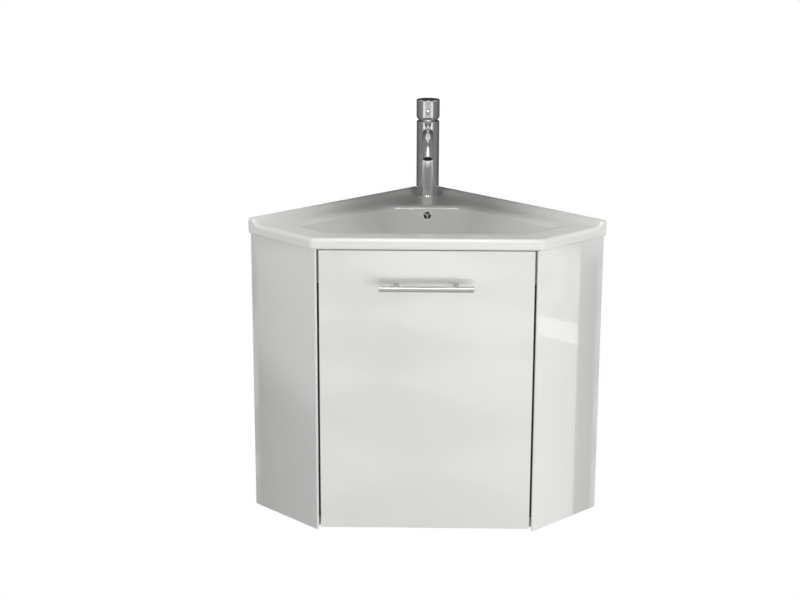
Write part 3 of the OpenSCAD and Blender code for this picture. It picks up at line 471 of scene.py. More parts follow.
# %% Gloss white lacquer on the fronts
FINISHES["gloss_front"], tree, shader = new_finish("lacquer", IOR=1.5, Coat_Weight=0.7, Coat_Roughness=0.02)
where = coordinates(tree)
wiped = noise(tree, coordinates(tree, (1.0, 1.0, 0.4), (0.3, 0.2, 0.5)), 11.0, 5.0, 0.6)
tone = blend_colours(tree, noise(tree, where, 6.0, 2.0), (0.815, 0.818, 0.818), (0.835, 0.838, 0.838))
dress(tree, shader, tone, spread(tree, wiped, 0.07, 0.14))
peel = relief(tree, shader, noise(tree, where, 300.0, 2.0), 0.000010)
relief(tree, shader, noise(tree, where, 7.0, 1.0), 0.0005, under=peel)
print("lacquer made, with", len(tree.nodes), "nodes")

# %% [markdown]
# ** Boards.** The carcass is chipboard with a melamine face on every side, white or nearly black.
# The nearly black one, on the strips behind the drawer front's side gaps, is a real shadow-gap board
# and also painted shade that keeps those gaps dark. A melamine face isn't smooth: it keeps a fine
# pearl from the press, and dust dulls it in places.

# %% Melamine
BOARD_FACES = {
    "white_board": ((0.74, 0.735, 0.72), (0.80, 0.80, 0.79)),
    # nearly black: real shadow-gap strips, and painted shade in the gaps beside the drawer front
    "dark_board": ((0.024, 0.025, 0.027), (0.036, 0.037, 0.039)),
}
for name, colours in BOARD_FACES.items():
    FINISHES[name] = recipe(name, colours, (5.0, 5.0), (0.38, 0.52), (5.0, 5.0), (1500.0, 2.0, 0.00003),
                            IOR=1.5)
print("boards:", sorted(BOARD_FACES))

# %% [markdown]
# **Metals.** Chrome is a mirror with a trace of haze and wiped water marks. The handle is satin:
# its grain runs along the bar, so it is a noise stretched a hundredfold. Zinc plating shows soft
# crystals, some bluish and some a little yellow. Turned brass keeps the rings of the lathe.

# %% Chrome, satin metal, zinc and nickel
FINISHES["chrome"], tree, shader = new_finish("chrome", Metallic=1.0)
where = coordinates(tree)
marks = noise(tree, where, 60.0, 6.0, 0.8)
tone = blend_colours(tree, spread(tree, marks, 0.0, 1.0), (0.64, 0.64, 0.645), (0.70, 0.70, 0.70))
dress(tree, shader, tone, spread(tree, marks, 0.045, 0.11, 0.3, 0.75))
relief(tree, shader, noise(tree, where, 45.0, 1.0), 0.00004)

FINISHES["handle_metal"], tree, shader = new_finish("satin_metal", Metallic=1.0, Anisotropic=0.4)
grain = noise(tree, coordinates(tree, (0.012, 1.0, 1.0)), 2600.0, 3.0)
handled = noise(tree, coordinates(tree), 22.0, 4.0)
dress(tree, shader, blend_colours(tree, grain, (0.48, 0.475, 0.47), (0.60, 0.595, 0.59)),
      math_node(tree, "ADD", spread(tree, grain, 0.32, 0.44), spread(tree, handled, -0.02, 0.05)))
relief(tree, shader, grain, 0.00001)

FINISHES["zinc_steel"], tree, shader = new_finish("zinc", Metallic=1.0)
where = coordinates(tree)
crystal = wire(tree, "ShaderNodeTexVoronoi", where, 170.0)
tint = blend_colours(tree, noise(tree, where, 40.0, 3.0), (0.58, 0.60, 0.63), (0.68, 0.66, 0.60))
dress(tree, shader, blend_colours(tree, 0.10, tint, crystal.outputs["Color"]),
      spread(tree, noise(tree, where, 90.0, 5.0), 0.24, 0.42))
relief(tree, shader, noise(tree, where, 700.0, 2.0), 0.00002)

FINISHES["plated_brass"], tree, shader = new_finish("plated_brass", Metallic=1.0)
where = coordinates(tree)
rings = noise(tree, coordinates(tree, (0.05, 0.05, 1.0)), 1800.0, 2.0)
tone = blend_colours(tree, noise(tree, where, 70.0, 4.0), (0.62, 0.60, 0.56), (0.72, 0.71, 0.68))
dress(tree, shader, tone, spread(tree, rings, 0.14, 0.30))
relief(tree, shader, rings, 0.00001)

pale_metal = recipe("pale_satin_chrome", ((0.88, 0.88, 0.87), (0.93, 0.93, 0.92)), (260.0, 3.0), (0.34, 0.46),
                    (500.0, 3.0), (2200.0, 2.0, 0.00001), Metallic=0.80)
print("metals made")

# %% [markdown]
# **Rubber and plastics.** Moulded pieces share one recipe: a fine spark-eroded grain, a little
# unevenness in colour, and a gloss that changes where hands or water have been.

# %% Rubber and moulded plastics
# colour, smoothest and roughest gloss, grains per metre
MOULDED = {
    "seal_rubber": ((0.030, 0.030, 0.031), 0.62, 0.78, 700.0),
    "black_plastic": ((0.022, 0.022, 0.024), 0.38, 0.52, 1200.0),
    "grey_plastic": ((0.23, 0.235, 0.24), 0.34, 0.46, 1100.0),
    "white_plastic": ((0.78, 0.78, 0.76), 0.28, 0.42, 1300.0),
}
for name, (colour, *gloss, grain_scale) in MOULDED.items():
    darker = tuple(c * 0.88 for c in colour)
    FINISHES[name] = recipe(name, (darker, colour), (30.0, 4.0), gloss, (30.0, 4.0),
                            (grain_scale, 2.0, 0.00003))
print("finishes:", sorted(FINISHES))

# %% Every node of the solid model takes the finish of its slot
slot_of = {part["node"]: part.get("material_slot") for part in frame["record"]["subparts"]}
for name, solid in nodes.items():
    for place in solid.material_slots:
        place.material = FINISHES[slot_of[name]]
print("slots dressed:", len(nodes))

# %% [markdown]
# ## The basin
#
# The real basin is one casting: a slab with a rounded rim, a low upstand along the two walls with
# a cove at its foot, and a wide bowl whose walls lean and run into the floor without an edge. Such
# a shape could be sculpted or cut out of a block. Here it is lofted, because every part of it
# follows a rule: a ring is a polygon with rounded corners, each skin joins two rings, and where a
# flat or gently moulded sheet lies between rings it is triangulated, with its height by formula.
# One closed skin comes out, with no seam, and the solid model's sizes are kept.

# %% Rings with rounded corners
def left_of(way):
    return Vector((-way.y, way.x))


def rounded_loop(corners, radii, arc_steps, fractions):
    """Points round a polygon, counter-clockwise, and the inward direction at each of them."""
    arcs = []
    for i, (corner, radius) in enumerate(zip(corners, radii)):
        way_in = (corner - corners[i - 1]).normalized()
        way_out = (corners[(i + 1) % len(corners)] - corner).normalized()
        turn = atan2(way_in.x * way_out.y - way_in.y * way_out.x, way_in.dot(way_out))
        centre = corner - way_in * radius * tan(turn / 2) + left_of(way_in) * radius
        inwards = [Matrix.Rotation(turn * k / arc_steps, 2) @ left_of(way_in) for k in range(arc_steps + 1)]
        arcs.append([(centre - n * radius, n) for n in inwards])
    loop = []
    for i, arc in enumerate(arcs):
        loop += arc
        start, end = arc[-1], arcs[(i + 1) % len(arcs)][0]
        loop += [(start[0].lerp(end[0], f), start[1]) for f in fractions[i]]
    return [p for p, _ in loop], [n for _, n in loop]


def circle(centre, radius, steps):
    return [centre + radius * Vector((cos(2 * pi * k / steps), sin(2 * pi * k / steps)))
            for k in range(steps)]


def evenly(count):
    """Fractions that part a line into equal pieces."""
    return [(k + 1) / (count + 1) for k in range(count)]


def both_halves(half):
    """A symmetric loop from its right-hand half."""
    return [Vector((-p.x, p.y)) for p in reversed(half)] + half


# %% A skin under construction
MESH_UNIT = 1000  # the triangulation works in millimetres
SHARP_DEGREES = 35


class Skin:
    """Points and faces of a closed skin, built ring by ring."""

    def __init__(self):
        self.points, self.faces = [], []

    def ring(self, plan_points, heights):
        if not isinstance(heights, list):
            heights = [heights] * len(plan_points)
        first = len(self.points)
        self.points += [(p.x, p.y, z) for p, z in zip(plan_points, heights)]
        return list(range(first, len(self.points)))

    def bridge(self, *rings):
        for one, two in zip(rings, rings[1:]):
            for k in range(len(one)):
                k2 = (k + 1) % len(one)
                self.faces.append((one[k], one[k2], two[k2], two[k]))

    def sheet(self, outer, holes, extra=(), height=None):
        """Triangles between an outer ring and holes, through extra plan points at a height."""
        used = [i for loop in (outer, *holes) for i in loop]
        flat = [Vector(self.points[i][:2]) * MESH_UNIT for i in used] + [p * MESH_UNIT for p in extra]
        used += self.ring(list(extra), [height(p) for p in extra]) if extra else []
        loops, first = [], 0
        for loop in (outer, *holes):
            loops.append(list(range(first, first + len(loop))))
            first += len(loop)
        _, _, faces, came_from, _, inside = delaunay_2d_cdt(flat, [], loops, 1, 1e-6, True)
        for face, within in zip(faces, inside):
            if within == [0]:
                self.faces.append(tuple(used[came_from[i][0]] for i in face))

    def piece(self, name, finish):
        """The finished skin as an object, its normals out and its flat faces shaded flat."""
        mesh = bpy.data.meshes.new(name)
        mesh.from_pydata(self.points, [], self.faces)
        work = bmesh.new()
        work.from_mesh(mesh)
        bmesh.ops.remove_doubles(work, verts=work.verts, dist=2e-6)
        bmesh.ops.dissolve_degenerate(work, edges=work.edges, dist=1e-6)
        bmesh.ops.recalc_face_normals(work, faces=work.faces)
        open_edges = sum(1 for e in work.edges if len(e.link_faces) != 2)
        work.to_mesh(mesh)
        work.free()
        mesh.materials.append(finish)
        smooth(mesh, SHARP_DEGREES)
        print(name, len(mesh.polygons), "faces,", open_edges, "open edges")
        return new_object(name, mesh)


# %% [markdown]
# The top's height is a formula of the distance from the nearer wall: flat for a centimetre, over a
# small round edge, down a hollow cove, and flat again. The two distances are joined by a smooth
# minimum, so that the coves run round the room corner in a curve, as fired clay does. Round the
# tap the cove fades out into a level seat.

# %% Height of the basin's top
UPSTAND_W, TOP_R, COVE_R = 0.010, 0.004, 0.024
CORNER_REACH = 0.030
RISE = UPSTAND_Z - RIM_Z
COVE_TURN = acos(1 - RISE / (TOP_R + COVE_R))
COVE_FOOT = UPSTAND_W + (TOP_R + COVE_R) * sin(COVE_TURN)
TAP = Vector((0.0, -0.062))
TAP_HOLE_R, TAP_SEAT_R, SEAT_FADE = 0.0175, 0.0235, 0.008


def wall_distance(p):
    one, two = (-p.x - p.y) / ROOT2, (p.x - p.y) / ROOT2
    share = max(CORNER_REACH - abs(one - two), 0) / CORNER_REACH
    return min(one, two) - share * share * CORNER_REACH / 4


def top_height(p):
    v = wall_distance(p)
    if v < UPSTAND_W:
        z = UPSTAND_Z
    elif v < UPSTAND_W + TOP_R * sin(COVE_TURN):
        z = UPSTAND_Z - TOP_R + sqrt(TOP_R ** 2 - (v - UPSTAND_W) ** 2)
    elif v < COVE_FOOT:
        z = RIM_Z + COVE_R - sqrt(COVE_R ** 2 - (COVE_FOOT - v) ** 2)
    else:
        z = RIM_Z
    return part_of((RIM_Z, z), soft_step(((p - TAP).length - TAP_SEAT_R) / SEAT_FADE))


print("cove foot", round(COVE_FOOT * 1000, 1), "mm off the wall")

# %% [markdown]
# The outer face is a stack of rings with one outline. Its rim is a quarter round whose radius
# changes along the way: large at the front, smaller where a short side meets the wall, and almost
# sharp along the walls. A smaller round joins the outer face to the foot.

# %% The outer face and the rounded rim
SIDE_CORNER_R, FRONT_CORNER_R = 0.0055, 0.011
CORNER_RADII = (SIDE_CORNER_R, SIDE_CORNER_R, FRONT_CORNER_R, FRONT_CORNER_R, SIDE_CORNER_R)
RIM_R, SIDE_RIM_R, WALL_RIM_R, BOTTOM_R = 0.0075, 0.005, 0.002, 0.0035
WALL_EDGE, FACES_WALL = (0.008, 0.035), 0.05
CORNER_STEPS, RIM_STEPS, BOTTOM_STEPS = 7, 6, 5
STEPS_OFF_WALL = [0.0065, 0.008, 0.010, 0.0107, 0.0114, 0.0122, 0.0129, 0.0137, 0.0147, 0.0159, 0.0173,
                  0.0189, 0.0209, 0.0231, 0.0256, 0.0281, 0.0306, 0.034, 0.038, 0.044, 0.052, 0.062,
                  0.074, 0.088, 0.103, 0.118, 0.133, 0.147]


def basin_corners(inset):
    """The basin's corners, counter-clockwise from the room corner, all sides moved in alike."""
    u = WALL_LEG - inset
    half = [Vector((ROOT2 * u + FRONT_Y + inset, FRONT_Y + inset)), plan(u, inset)]
    return [Vector((0, -inset * ROOT2)), *both_halves(half)]


side_length = SHORT_SIDE - SIDE_CORNER_R - FRONT_CORNER_R * tan(pi / 8)
short_side = [(v - SIDE_CORNER_R) / side_length for v in STEPS_OFF_WALL]
FRACTIONS = [evenly(60), short_side, evenly(44), [1 - f for f in reversed(short_side)], evenly(60)]

skin = Skin()
outline, inward = rounded_loop(basin_corners(0), CORNER_RADII, CORNER_STEPS, FRACTIONS)
edge_r = []
for p, n in zip(outline, inward):
    at_wall = min(max((-n.y - FACES_WALL) / (1 / ROOT2 - FACES_WALL), 0), 1)
    free_r = part_of((SIDE_RIM_R, RIM_R), soft_step((wall_distance(p) - WALL_EDGE[0]) / WALL_EDGE[1]))
    edge_r.append(part_of((free_r, WALL_RIM_R), at_wall))
edge_top = [top_height(p + n * r) for p, n, r in zip(outline, inward, edge_r)]
rim_rings = []
for k in range(RIM_STEPS + 1):
    angle = radians(90 * k / RIM_STEPS)
    spots = [p + n * r * (1 - cos(angle)) for p, n, r in zip(outline, inward, edge_r)]
    rim_rings.append(skin.ring(spots, [z - r * (1 - sin(angle)) for z, r in zip(edge_top, edge_r)]))
low_rings = []
for k in range(BOTTOM_STEPS + 1):
    angle = pi / 2 * k / BOTTOM_STEPS
    inset, rise = BOTTOM_R * (1 - sin(angle)), BOTTOM_R * (1 - cos(angle))
    low_rings.append(skin.ring([p + n * inset for p, n in zip(outline, inward)], CABINET_TOP + rise))
skin.bridge(*low_rings, *rim_rings)
print("points round the rim:", len(outline))

# %% [markdown]
# The bowl is a six-sided ring that steps in over a soft lip, then falls to a floor that balls of
# 25 mm round off. Seen in section, each wall is the tangent from the lip to such a ball. The outer
# shell is made by the same rule, one wall thickness further out.

# %% The bowl, inside and outside
DECK_DEPTH = 0.144
BOWL_EDGE = (0.038, 0.041, 0.044, DECK_DEPTH)
LIP_IN = (0.005, 0.012, 0.022, 0.014)
LIP_DROP, LIP_TURN, LIP_STEPS = 0.0105, pi / 3, 8
LIP_END_Z = RIM_Z - LIP_DROP / 2
BOWL_RADII = (0.040, 0.020, 0.020, 0.020, 0.020, 0.040)
BALL_R, CERAMIC = 0.025, 0.010
FLOOR = RIM_Z - 0.113
FLOOR_HALF_CORNERS = ((0.112, -0.2928), (0.122, -0.2748), (0.042, -0.1861))
BOWL_FRACTIONS = [evenly(34), evenly(16), evenly(44), evenly(16), evenly(34), evenly(22)]
ARC_STEPS, STRAIGHT_STEPS, CURVED_STEPS = 10, 7, 12


def bowl_corners(lip):
    """The bowl's corners, counter-clockwise from the rear left, a part of the lip's step in."""
    front, side, shelf, deck = (edge + step * lip for edge, step in zip(BOWL_EDGE, LIP_IN))
    u = WALL_LEG - side
    return both_halves([Vector((ROOT2 * u + FRONT_Y + front, FRONT_Y + front)), plan(u, shelf),
                        Vector((deck - ROOT2 * shelf, -deck))])


def fall(start, start_z, ball_r, floor_loop):
    """Rings from a starting loop down a tangent and round the balls to the floor."""
    ball_z = FLOOR + BALL_R
    paths = []
    for p, q in zip(start, floor_loop):
        reach, drop = (p - q).length, start_z - ball_z
        away = (p - q) / reach
        lean = atan2(drop, reach) - acos(min(ball_r / hypot(reach, drop), 1))
        touch = (ball_r * cos(lean), ball_r * sin(lean))
        path = [(reach + (touch[0] - reach) * k / STRAIGHT_STEPS,
                 drop + (touch[1] - drop) * k / STRAIGHT_STEPS) for k in range(1, STRAIGHT_STEPS + 1)]
        for k in range(1, CURVED_STEPS + 1):
            angle = lean + (-pi / 2 - lean) * k / CURVED_STEPS
            path.append((ball_r * cos(angle), ball_r * sin(angle)))
        paths.append([(q + away * out, ball_z + z) for out, z in path])
    return [skin.ring([p for p, _ in level], [z for _, z in level]) for level in zip(*paths)]


lip_rings = []
for k in range(LIP_STEPS + 1):
    angle = LIP_TURN * k / LIP_STEPS
    lip_end, lip_inward = rounded_loop(bowl_corners(sin(angle)), BOWL_RADII, ARC_STEPS, BOWL_FRACTIONS)
    lip_rings.append(skin.ring(lip_end, RIM_Z - LIP_DROP * (1 - cos(angle))))
# the floor's outline has as many points as a bowl ring: a corner's arc meets in one point
corners, bottom = both_halves([Vector(p) for p in FLOOR_HALF_CORNERS]), []
for i, corner in enumerate(corners):
    bottom += [corner.copy() for _ in range(ARC_STEPS + 1)]
    bottom += [corner.lerp(corners[(i + 1) % len(corners)], f) for f in BOWL_FRACTIONS[i]]
inner_rings = fall(lip_end, LIP_END_Z, BALL_R, bottom)
skin.bridge(*lip_rings, *inner_rings)

outer_start = [p - n * CERAMIC for p, n in zip(lip_end, lip_inward)]
outer_first = skin.ring(outer_start, UNDERSIDE_Z)
outer_rings = fall(outer_start, UNDERSIDE_Z, BALL_R + CERAMIC, bottom)
skin.bridge(outer_first, *outer_rings)
print("bowl floor at", round(FLOOR, 4), "rings", len(lip_rings) + len(inner_rings))

# %% [markdown]
# The deck between rim and bowl is one sheet of triangles. Its extra points lie in rows along the
# walls, closest where the cove bends, and in circles round the tap. The waste hole is a stack of
# circles with a step for the flange, and two flat sheets join it to the bowl's floor.

# %% The deck and the floor with its waste hole
TAP_CLEARANCE, EDGE_CLEARANCE, TAP_STEPS = 0.0325, 0.0011, 60
FIRST_STEP, LAST_STEP, CLOSE_STEP, WIDE_STEP, CLOSE_UP_TO = 0.0015, 0.006, 0.004, 0.0075, 0.09
TAP_CIRCLES = (0.0195, 0.0215, 0.0235, 0.0248, 0.0261, 0.0275, 0.0289, 0.0303, 0.0317)
WASTE, WASTE_STEPS = Vector((0.0, FRONT_Y + 0.165)), 72
# radius and height above the floor
WASTE_SECTION = ((0.036, 0.0), (0.0345, -0.0001), (0.0333, -0.0005), (0.0326, -0.0012), (0.0325, -0.0025),
                 (0.023, -0.0025), (0.023, -0.032), (0.039, -0.032), (0.040, -0.031), (0.040, -0.010))

deck_points = []
for v in [0.003, 0.0065] + STEPS_OFF_WALL[1:18]:
    u = v + FIRST_STEP
    while u < WALL_LEG - LAST_STEP:
        spot = plan(u, v)
        deck_points += [spot, Vector((-spot.x, spot.y))]
        u += CLOSE_STEP if u < CLOSE_UP_TO else WIDE_STEP
    deck_points.append(Vector((0.0, -v * ROOT2)))
deck_points = [p for p in deck_points if (p - TAP).length > TAP_CLEARANCE]
for r in TAP_CIRCLES:
    deck_points += circle(TAP, r, TAP_STEPS)
edge_loop = [Vector(skin.points[i][:2]) for i in rim_rings[-1]]
deck_points = [p for p in deck_points if all((p - q).length > EDGE_CLEARANCE for q in edge_loop)]
tap_top, tap_low = (skin.ring(circle(TAP, TAP_HOLE_R, TAP_STEPS), z) for z in (RIM_Z, UNDERSIDE_Z))
skin.bridge(tap_top, tap_low)
skin.sheet(rim_rings[-1], [lip_rings[0], tap_top], deck_points, top_height)

waste_rings = [skin.ring(circle(WASTE, r, WASTE_STEPS), FLOOR + z) for r, z in WASTE_SECTION]
skin.bridge(*waste_rings)
apart = [i for i in range(len(bottom)) if (bottom[i] - bottom[i - 1]).length > 1e-5]
skin.sheet([inner_rings[-1][i] for i in apart], [waste_rings[0]])
skin.sheet([outer_rings[-1][i] for i in apart], [waste_rings[-1]])
print("deck points:", len(deck_points))

# %% [markdown]
# From below the casting is hollow: a foot runs round under the rim, and the underside lies a
# little higher. The foot gives way to the clamp under the tap.

# %% The foot and the underside
FOOT_W, HOLLOW_R, CLAMP_R = 0.026, 0.004, 0.024
# how far in each ring lies, and its height
HOLLOW_SECTION = ((0.0, CABINET_TOP), (0.0, UNDERSIDE_Z - 0.002), (0.0006, UNDERSIDE_Z - 0.0006),
                  (0.002, UNDERSIDE_Z))


def clear_of_tap(p, radius):
    """Points too near the tap are pushed out to a circle."""
    return p if (p - TAP).length > radius else TAP + (p - TAP).normalized() * radius


hollow, hollow_in = rounded_loop(basin_corners(FOOT_W), [HOLLOW_R] * 5, CORNER_STEPS, FRACTIONS)
hollow_rings = []
for inset, z in HOLLOW_SECTION:
    spots = [clear_of_tap(p + n * inset, CLAMP_R - inset) for p, n in zip(hollow, hollow_in)]
    hollow_rings.append(skin.ring(spots, z))
skin.bridge(low_rings[0], *hollow_rings)
skin.sheet(hollow_rings[-1], [outer_first, tap_low])
print("points round the foot:", len(hollow))

# %% [markdown]
# Behind the bowl a flat duct takes water from the overflow down to the waste. It shows only from
# below. The overflow's hole goes through the rear wall into it, and a Boolean cuts that hole last.

# %% Overflow duct and its hole
REAR_LEAN = atan2(0.005, LIP_END_Z - FLOOR - BALL_R)
REAR_WALL_Y = -DECK_DEPTH - LIP_IN[3] * sin(LIP_TURN)
OVERFLOW_Z = CABINET_TOP + 0.002
OVERFLOW_R, DRILL_LENGTH, DRILL_OUT = 0.008, 0.034, 0.009
DUCT_BACK, DUCT_LOW = REAR_WALL_Y + CERAMIC + 0.018, FLOOR - CERAMIC - 0.020
DUCT_FRONT, DUCT_TOP, DUCT_ROOF, DUCT_CUT = REAR_WALL_Y + 0.004, UNDERSIDE_Z + 0.004, FLOOR - 0.006, 0.012
# across the duct: where each ring lies, and how far it is drawn in
DUCT_RINGS = ((-0.020, 0.003), (-0.0191, 0.0009), (-0.017, 0.0),
              (0.017, 0.0), (0.0191, 0.0009), (0.020, 0.003))


def overflow_frame():
    """Where the overflow is: its X axis lies level, its Z axis points out of the rear wall."""
    y = REAR_WALL_Y - (LIP_END_Z - OVERFLOW_Z) * tan(REAR_LEAN)
    return Matrix.Translation((0, y, OVERFLOW_Z)) @ Matrix.Rotation(pi / 2 - REAR_LEAN, 4, "X")


profile = [Vector(p) for p in (
    (WASTE.y, DUCT_LOW), (DUCT_BACK - DUCT_CUT, DUCT_LOW), (DUCT_BACK, DUCT_LOW + DUCT_CUT),
    (DUCT_BACK, DUCT_TOP), (DUCT_FRONT, DUCT_TOP), (DUCT_FRONT, DUCT_ROOF), (WASTE.y, DUCT_ROOF))]
middle = sum(profile, Vector((0, 0))) / len(profile)
duct_rings = []
for x, inset in DUCT_RINGS:
    first = len(skin.points)
    drawn_in = [p + (middle - p).normalized() * inset for p in profile]
    skin.points += [(x, p.x, p.y) for p in drawn_in]
    duct_rings.append(list(range(first, first + len(profile))))
skin.bridge(*duct_rings)
skin.faces += [tuple(duct_rings[0]), tuple(reversed(duct_rings[-1]))]
basin = skin.piece("basin_casting", FINISHES["glazed_ceramic"])

drill = bmesh.new()
bmesh.ops.create_cone(drill, cap_ends=True, segments=64, radius1=OVERFLOW_R, radius2=OVERFLOW_R,
                      depth=DRILL_LENGTH)
drill.transform(overflow_frame() @ Matrix.Translation((0, 0, -DRILL_OUT)))
drill_mesh = bpy.data.meshes.new("overflow_drill")
drill.to_mesh(drill_mesh)
drill.free()
drill_tool = new_object("overflow_drill", drill_mesh)
cut = basin.modifiers.new("overflow", "BOOLEAN")
cut.object, cut.operation, cut.solver, cut.use_self = drill_tool, "DIFFERENCE", "EXACT", True
plain_mesh = plain_copy(basin)
basin.modifiers.clear()
basin.data = plain_mesh
bpy.data.objects.remove(drill_tool)
smooth(plain_mesh, SHARP_DEGREES)

# flat faces stay flat beside rounded edges: normals weighted by face area
weighted = basin.modifiers.new("weighted normals", "WEIGHTED_NORMAL")
weighted.mode, weighted.keep_sharp, weighted.weight = "FACE_AREA", True, 80
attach(basin, "cabinet")
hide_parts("basin")
print("basin:", len(plain_mesh.polygons), "faces")

# %% [markdown]
# The overflow has a pale satin ring with three spokes. Behind the spokes it looks black: a short
# rubber sleeve lines the hole, as on many overflows, and its black is also painted shade for the
# inside of the hole. A sleeve is a turned shape: its section is a small rectangle with one corner
# cut, carried round an axis, so it is made as a closed chain of rings.

# %% Overflow sleeve and ring
# radius and height of the section's corners
SLEEVE_SECTION = ((0.0065, -0.0012), (0.0065, -0.0085), (0.0057, -0.0085), (0.0057, -0.0015),
                  (0.0060, -0.0012))
SLEEVE_STEPS = 40

shape = Skin()
rings = [shape.ring(circle(Vector((0, 0)), r, SLEEVE_STEPS), z) for r, z in SLEEVE_SECTION]
shape.bridge(*rings, rings[0])
shape.points = [tuple(overflow_frame() @ Vector(p)) for p in shape.points]
# black rubber: a real lining, and also painted shade inside the overflow hole
sleeve = shape.piece("overflow_sleeve", FINISHES["seal_rubber"])
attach(sleeve, "cabinet")
for place in nodes["overflow_ring"].material_slots:
    place.material = pale_metal
print("overflow sleeve", len(sleeve.data.polygons), "faces")

# %% [markdown]
# ## Screws
#
# Twenty-two screws hold the cabinet together. They differ only in size, place and the way they
# face, so one Geometry Nodes tree makes them all: it shapes a single head, cuts a cross recess
# into it, and sets a copy on every point of a small cloud. Each point carries the direction that
# its head faces, and a seeded random turn leaves the recesses at different angles, as a
# screwdriver does. The solid model has the heads without recesses, because they are too fine for it.

# %% The tree that makes screws
BALL_SEGMENTS, BALL_RINGS, SHANK_SIDES = 28, 14, 20
BAR_WIDTH, BAR_LIFT = 0.26, 0.92
SHANK_GAP = 0.00002
TURN_SEED, MOST_TURN = 11, 1.5708


screw_tree = bpy.data.node_groups.new("screw_maker", "GeometryNodeTree")


def named_socket(label, kind, in_out="INPUT"):
    return screw_tree.interface.new_socket(label, in_out=in_out, socket_type="NodeSocket" + kind)


named_socket("Geometry", "Geometry")
named_socket("Geometry", "Geometry", "OUTPUT")
for label, value in (("Head Radius", 0.004), ("Head Height", 0.0024), ("Dome", 1.0), ("Shank Radius", 0.002),
                     ("Shank Length", 0.012), ("Recess", 0.62)):
    named_socket(label, "Float").default_value = value
named_socket("Finish", "Material")
given = screw_tree.nodes.new("NodeGroupInput").outputs
result = screw_tree.nodes.new("NodeGroupOutput").inputs[0]

link = screw_tree.links.new
node = partial(wire, screw_tree)
times = partial(math_node, screw_tree, "MULTIPLY")


def vector(x, y, z):
    return node("ShaderNodeCombineXYZ", x, y, z).outputs[0]


head_r, head_h = given["Head Radius"], given["Head Height"]

# the head: the upper half of a ball, its dome flattened by a power
ball = node("GeometryNodeMeshUVSphere", BALL_SEGMENTS, BALL_RINGS, 1.0).outputs[0]
x, y, z = node("ShaderNodeSeparateXYZ", node("GeometryNodeInputPosition").outputs[0]).outputs
lifted = math_node(screw_tree, "POWER", math_node(screw_tree, "MAXIMUM", z, 0.0), given["Dome"])
moved = vector(times(x, head_r), times(y, head_r), times(lifted, head_h))
head = node("GeometryNodeSetPosition", ball, None, moved).outputs[0]

# the cross recess: two bars, cut out of the head
recess = node("GeometryNodeMeshBoolean", operation="UNION", solver="EXACT")
for long_axis in (0, 1):
    sides = [times(head_r, BAR_WIDTH)] * 2
    sides[long_axis] = times(times(head_r, given["Recess"]), 2.0)
    cube = node("GeometryNodeMeshCube", vector(*sides, head_h)).outputs[0]
    bar = node("GeometryNodeTransform", cube, vector(0.0, 0.0, times(head_h, BAR_LIFT)))
    link(bar.outputs[0], recess.inputs["Mesh 2"])
cut_head = node("GeometryNodeMeshBoolean", head, recess.outputs[0], operation="DIFFERENCE", solver="EXACT")

# the shank, just under the head
shank = node("GeometryNodeMeshCylinder", SHANK_SIDES, 1, 1, given["Shank Radius"], given["Shank Length"])
sunk = vector(0.0, 0.0, math_node(screw_tree, "MULTIPLY_ADD", given["Shank Length"], -0.5, -SHANK_GAP))
one_screw = node("GeometryNodeJoinGeometry", node("GeometryNodeTransform", shank.outputs[0], sunk).outputs[0])
link(cut_head.outputs[0], one_screw.inputs[0])

# one screw on each point, turned to face its way and then at random about its own axis
facing = node("GeometryNodeInputNamedAttribute", "facing", data_type="FLOAT_VECTOR").outputs[0]
upright = node("FunctionNodeAlignRotationToVector", None, None, facing, axis="Z")
turns = node("FunctionNodeRandomValue", 0.0, MOST_TURN, None, TURN_SEED, data_type="FLOAT").outputs
about_axis = vector(0.0, 0.0, next(s for s in turns if s.enabled))
spin = node("FunctionNodeRotateRotation", upright.outputs[0], about_axis, rotation_space="LOCAL").outputs[0]
placed = node("GeometryNodeInstanceOnPoints", given["Geometry"], None, one_screw.outputs[0], None, None, spin)

# real geometry with its finish comes out
real = node("GeometryNodeRealizeInstances", placed.outputs[0]).outputs[0]
link(node("GeometryNodeSetMaterial", real, None, given["Finish"]).outputs[0], result)
print("screw tree has", len(screw_tree.nodes), "nodes")


# %% Screws in their places
HEAD_SHARP_DEGREES = 30


def grow_mesh(name, spots, numbers, finish):
    """Runs the tree on a cloud of points: each spot is a place and the way that the screw there faces."""
    mesh = bpy.data.meshes.new(name)
    mesh.from_pydata([place for place, _ in spots], [], [])
    facing = mesh.attributes.new("facing", "FLOAT_VECTOR", "POINT")
    for item, (_, way) in zip(facing.data, spots):
        item.vector = way
    thing = new_object(name, mesh)
    grow = thing.modifiers.new("grow", "NODES")
    grow.node_group = screw_tree
    wanted = numbers | {"Finish": finish}
    for socket in screw_tree.interface.items_tree:
        if socket.in_out == "INPUT" and socket.name in wanted:
            grow[socket.identifier] = wanted[socket.name]
    plain = plain_copy(thing)
    bpy.data.objects.remove(thing)
    return plain


def grown(name, node_name, body, *sets):
    """One piece of a body in place of a node: each set is a list of spots and the tree's numbers."""
    slot = slot_of[node_name]
    work = bmesh.new()
    for spots, numbers in sets:
        work.from_mesh(grow_mesh(name, spots, numbers, FINISHES[slot]))
    joined = bpy.data.meshes.new(name)
    work.to_mesh(joined)
    work.free()
    joined.materials.append(FINISHES[slot])
    smooth(joined, HEAD_SHARP_DEGREES)
    thing = new_object(name, joined)
    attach(thing, body)
    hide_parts(node_name)
    print(name, "on", body, "-", len(joined.polygons), "faces")


SIDES = (-1, 1)
FRONT_BACK_Y = NOSE_Y + 0.016
HANDLE_Z, POST_X = 0.423, 0.048
BOX_T, BOX_HALF_W = 0.012, 0.140
FRONT_SCREW_X, FRONT_SCREW_ZS = 0.095, (0.065, 0.175)
PARTITION_IN, RUNNER_Z = 0.153, 0.115
RUNNER_SCREW_YS = (FRONT_BACK_Y + 0.038, FRONT_BACK_Y + 0.158)
HEAD_STAND = 0.0001
BACK = (0, 1, 0)

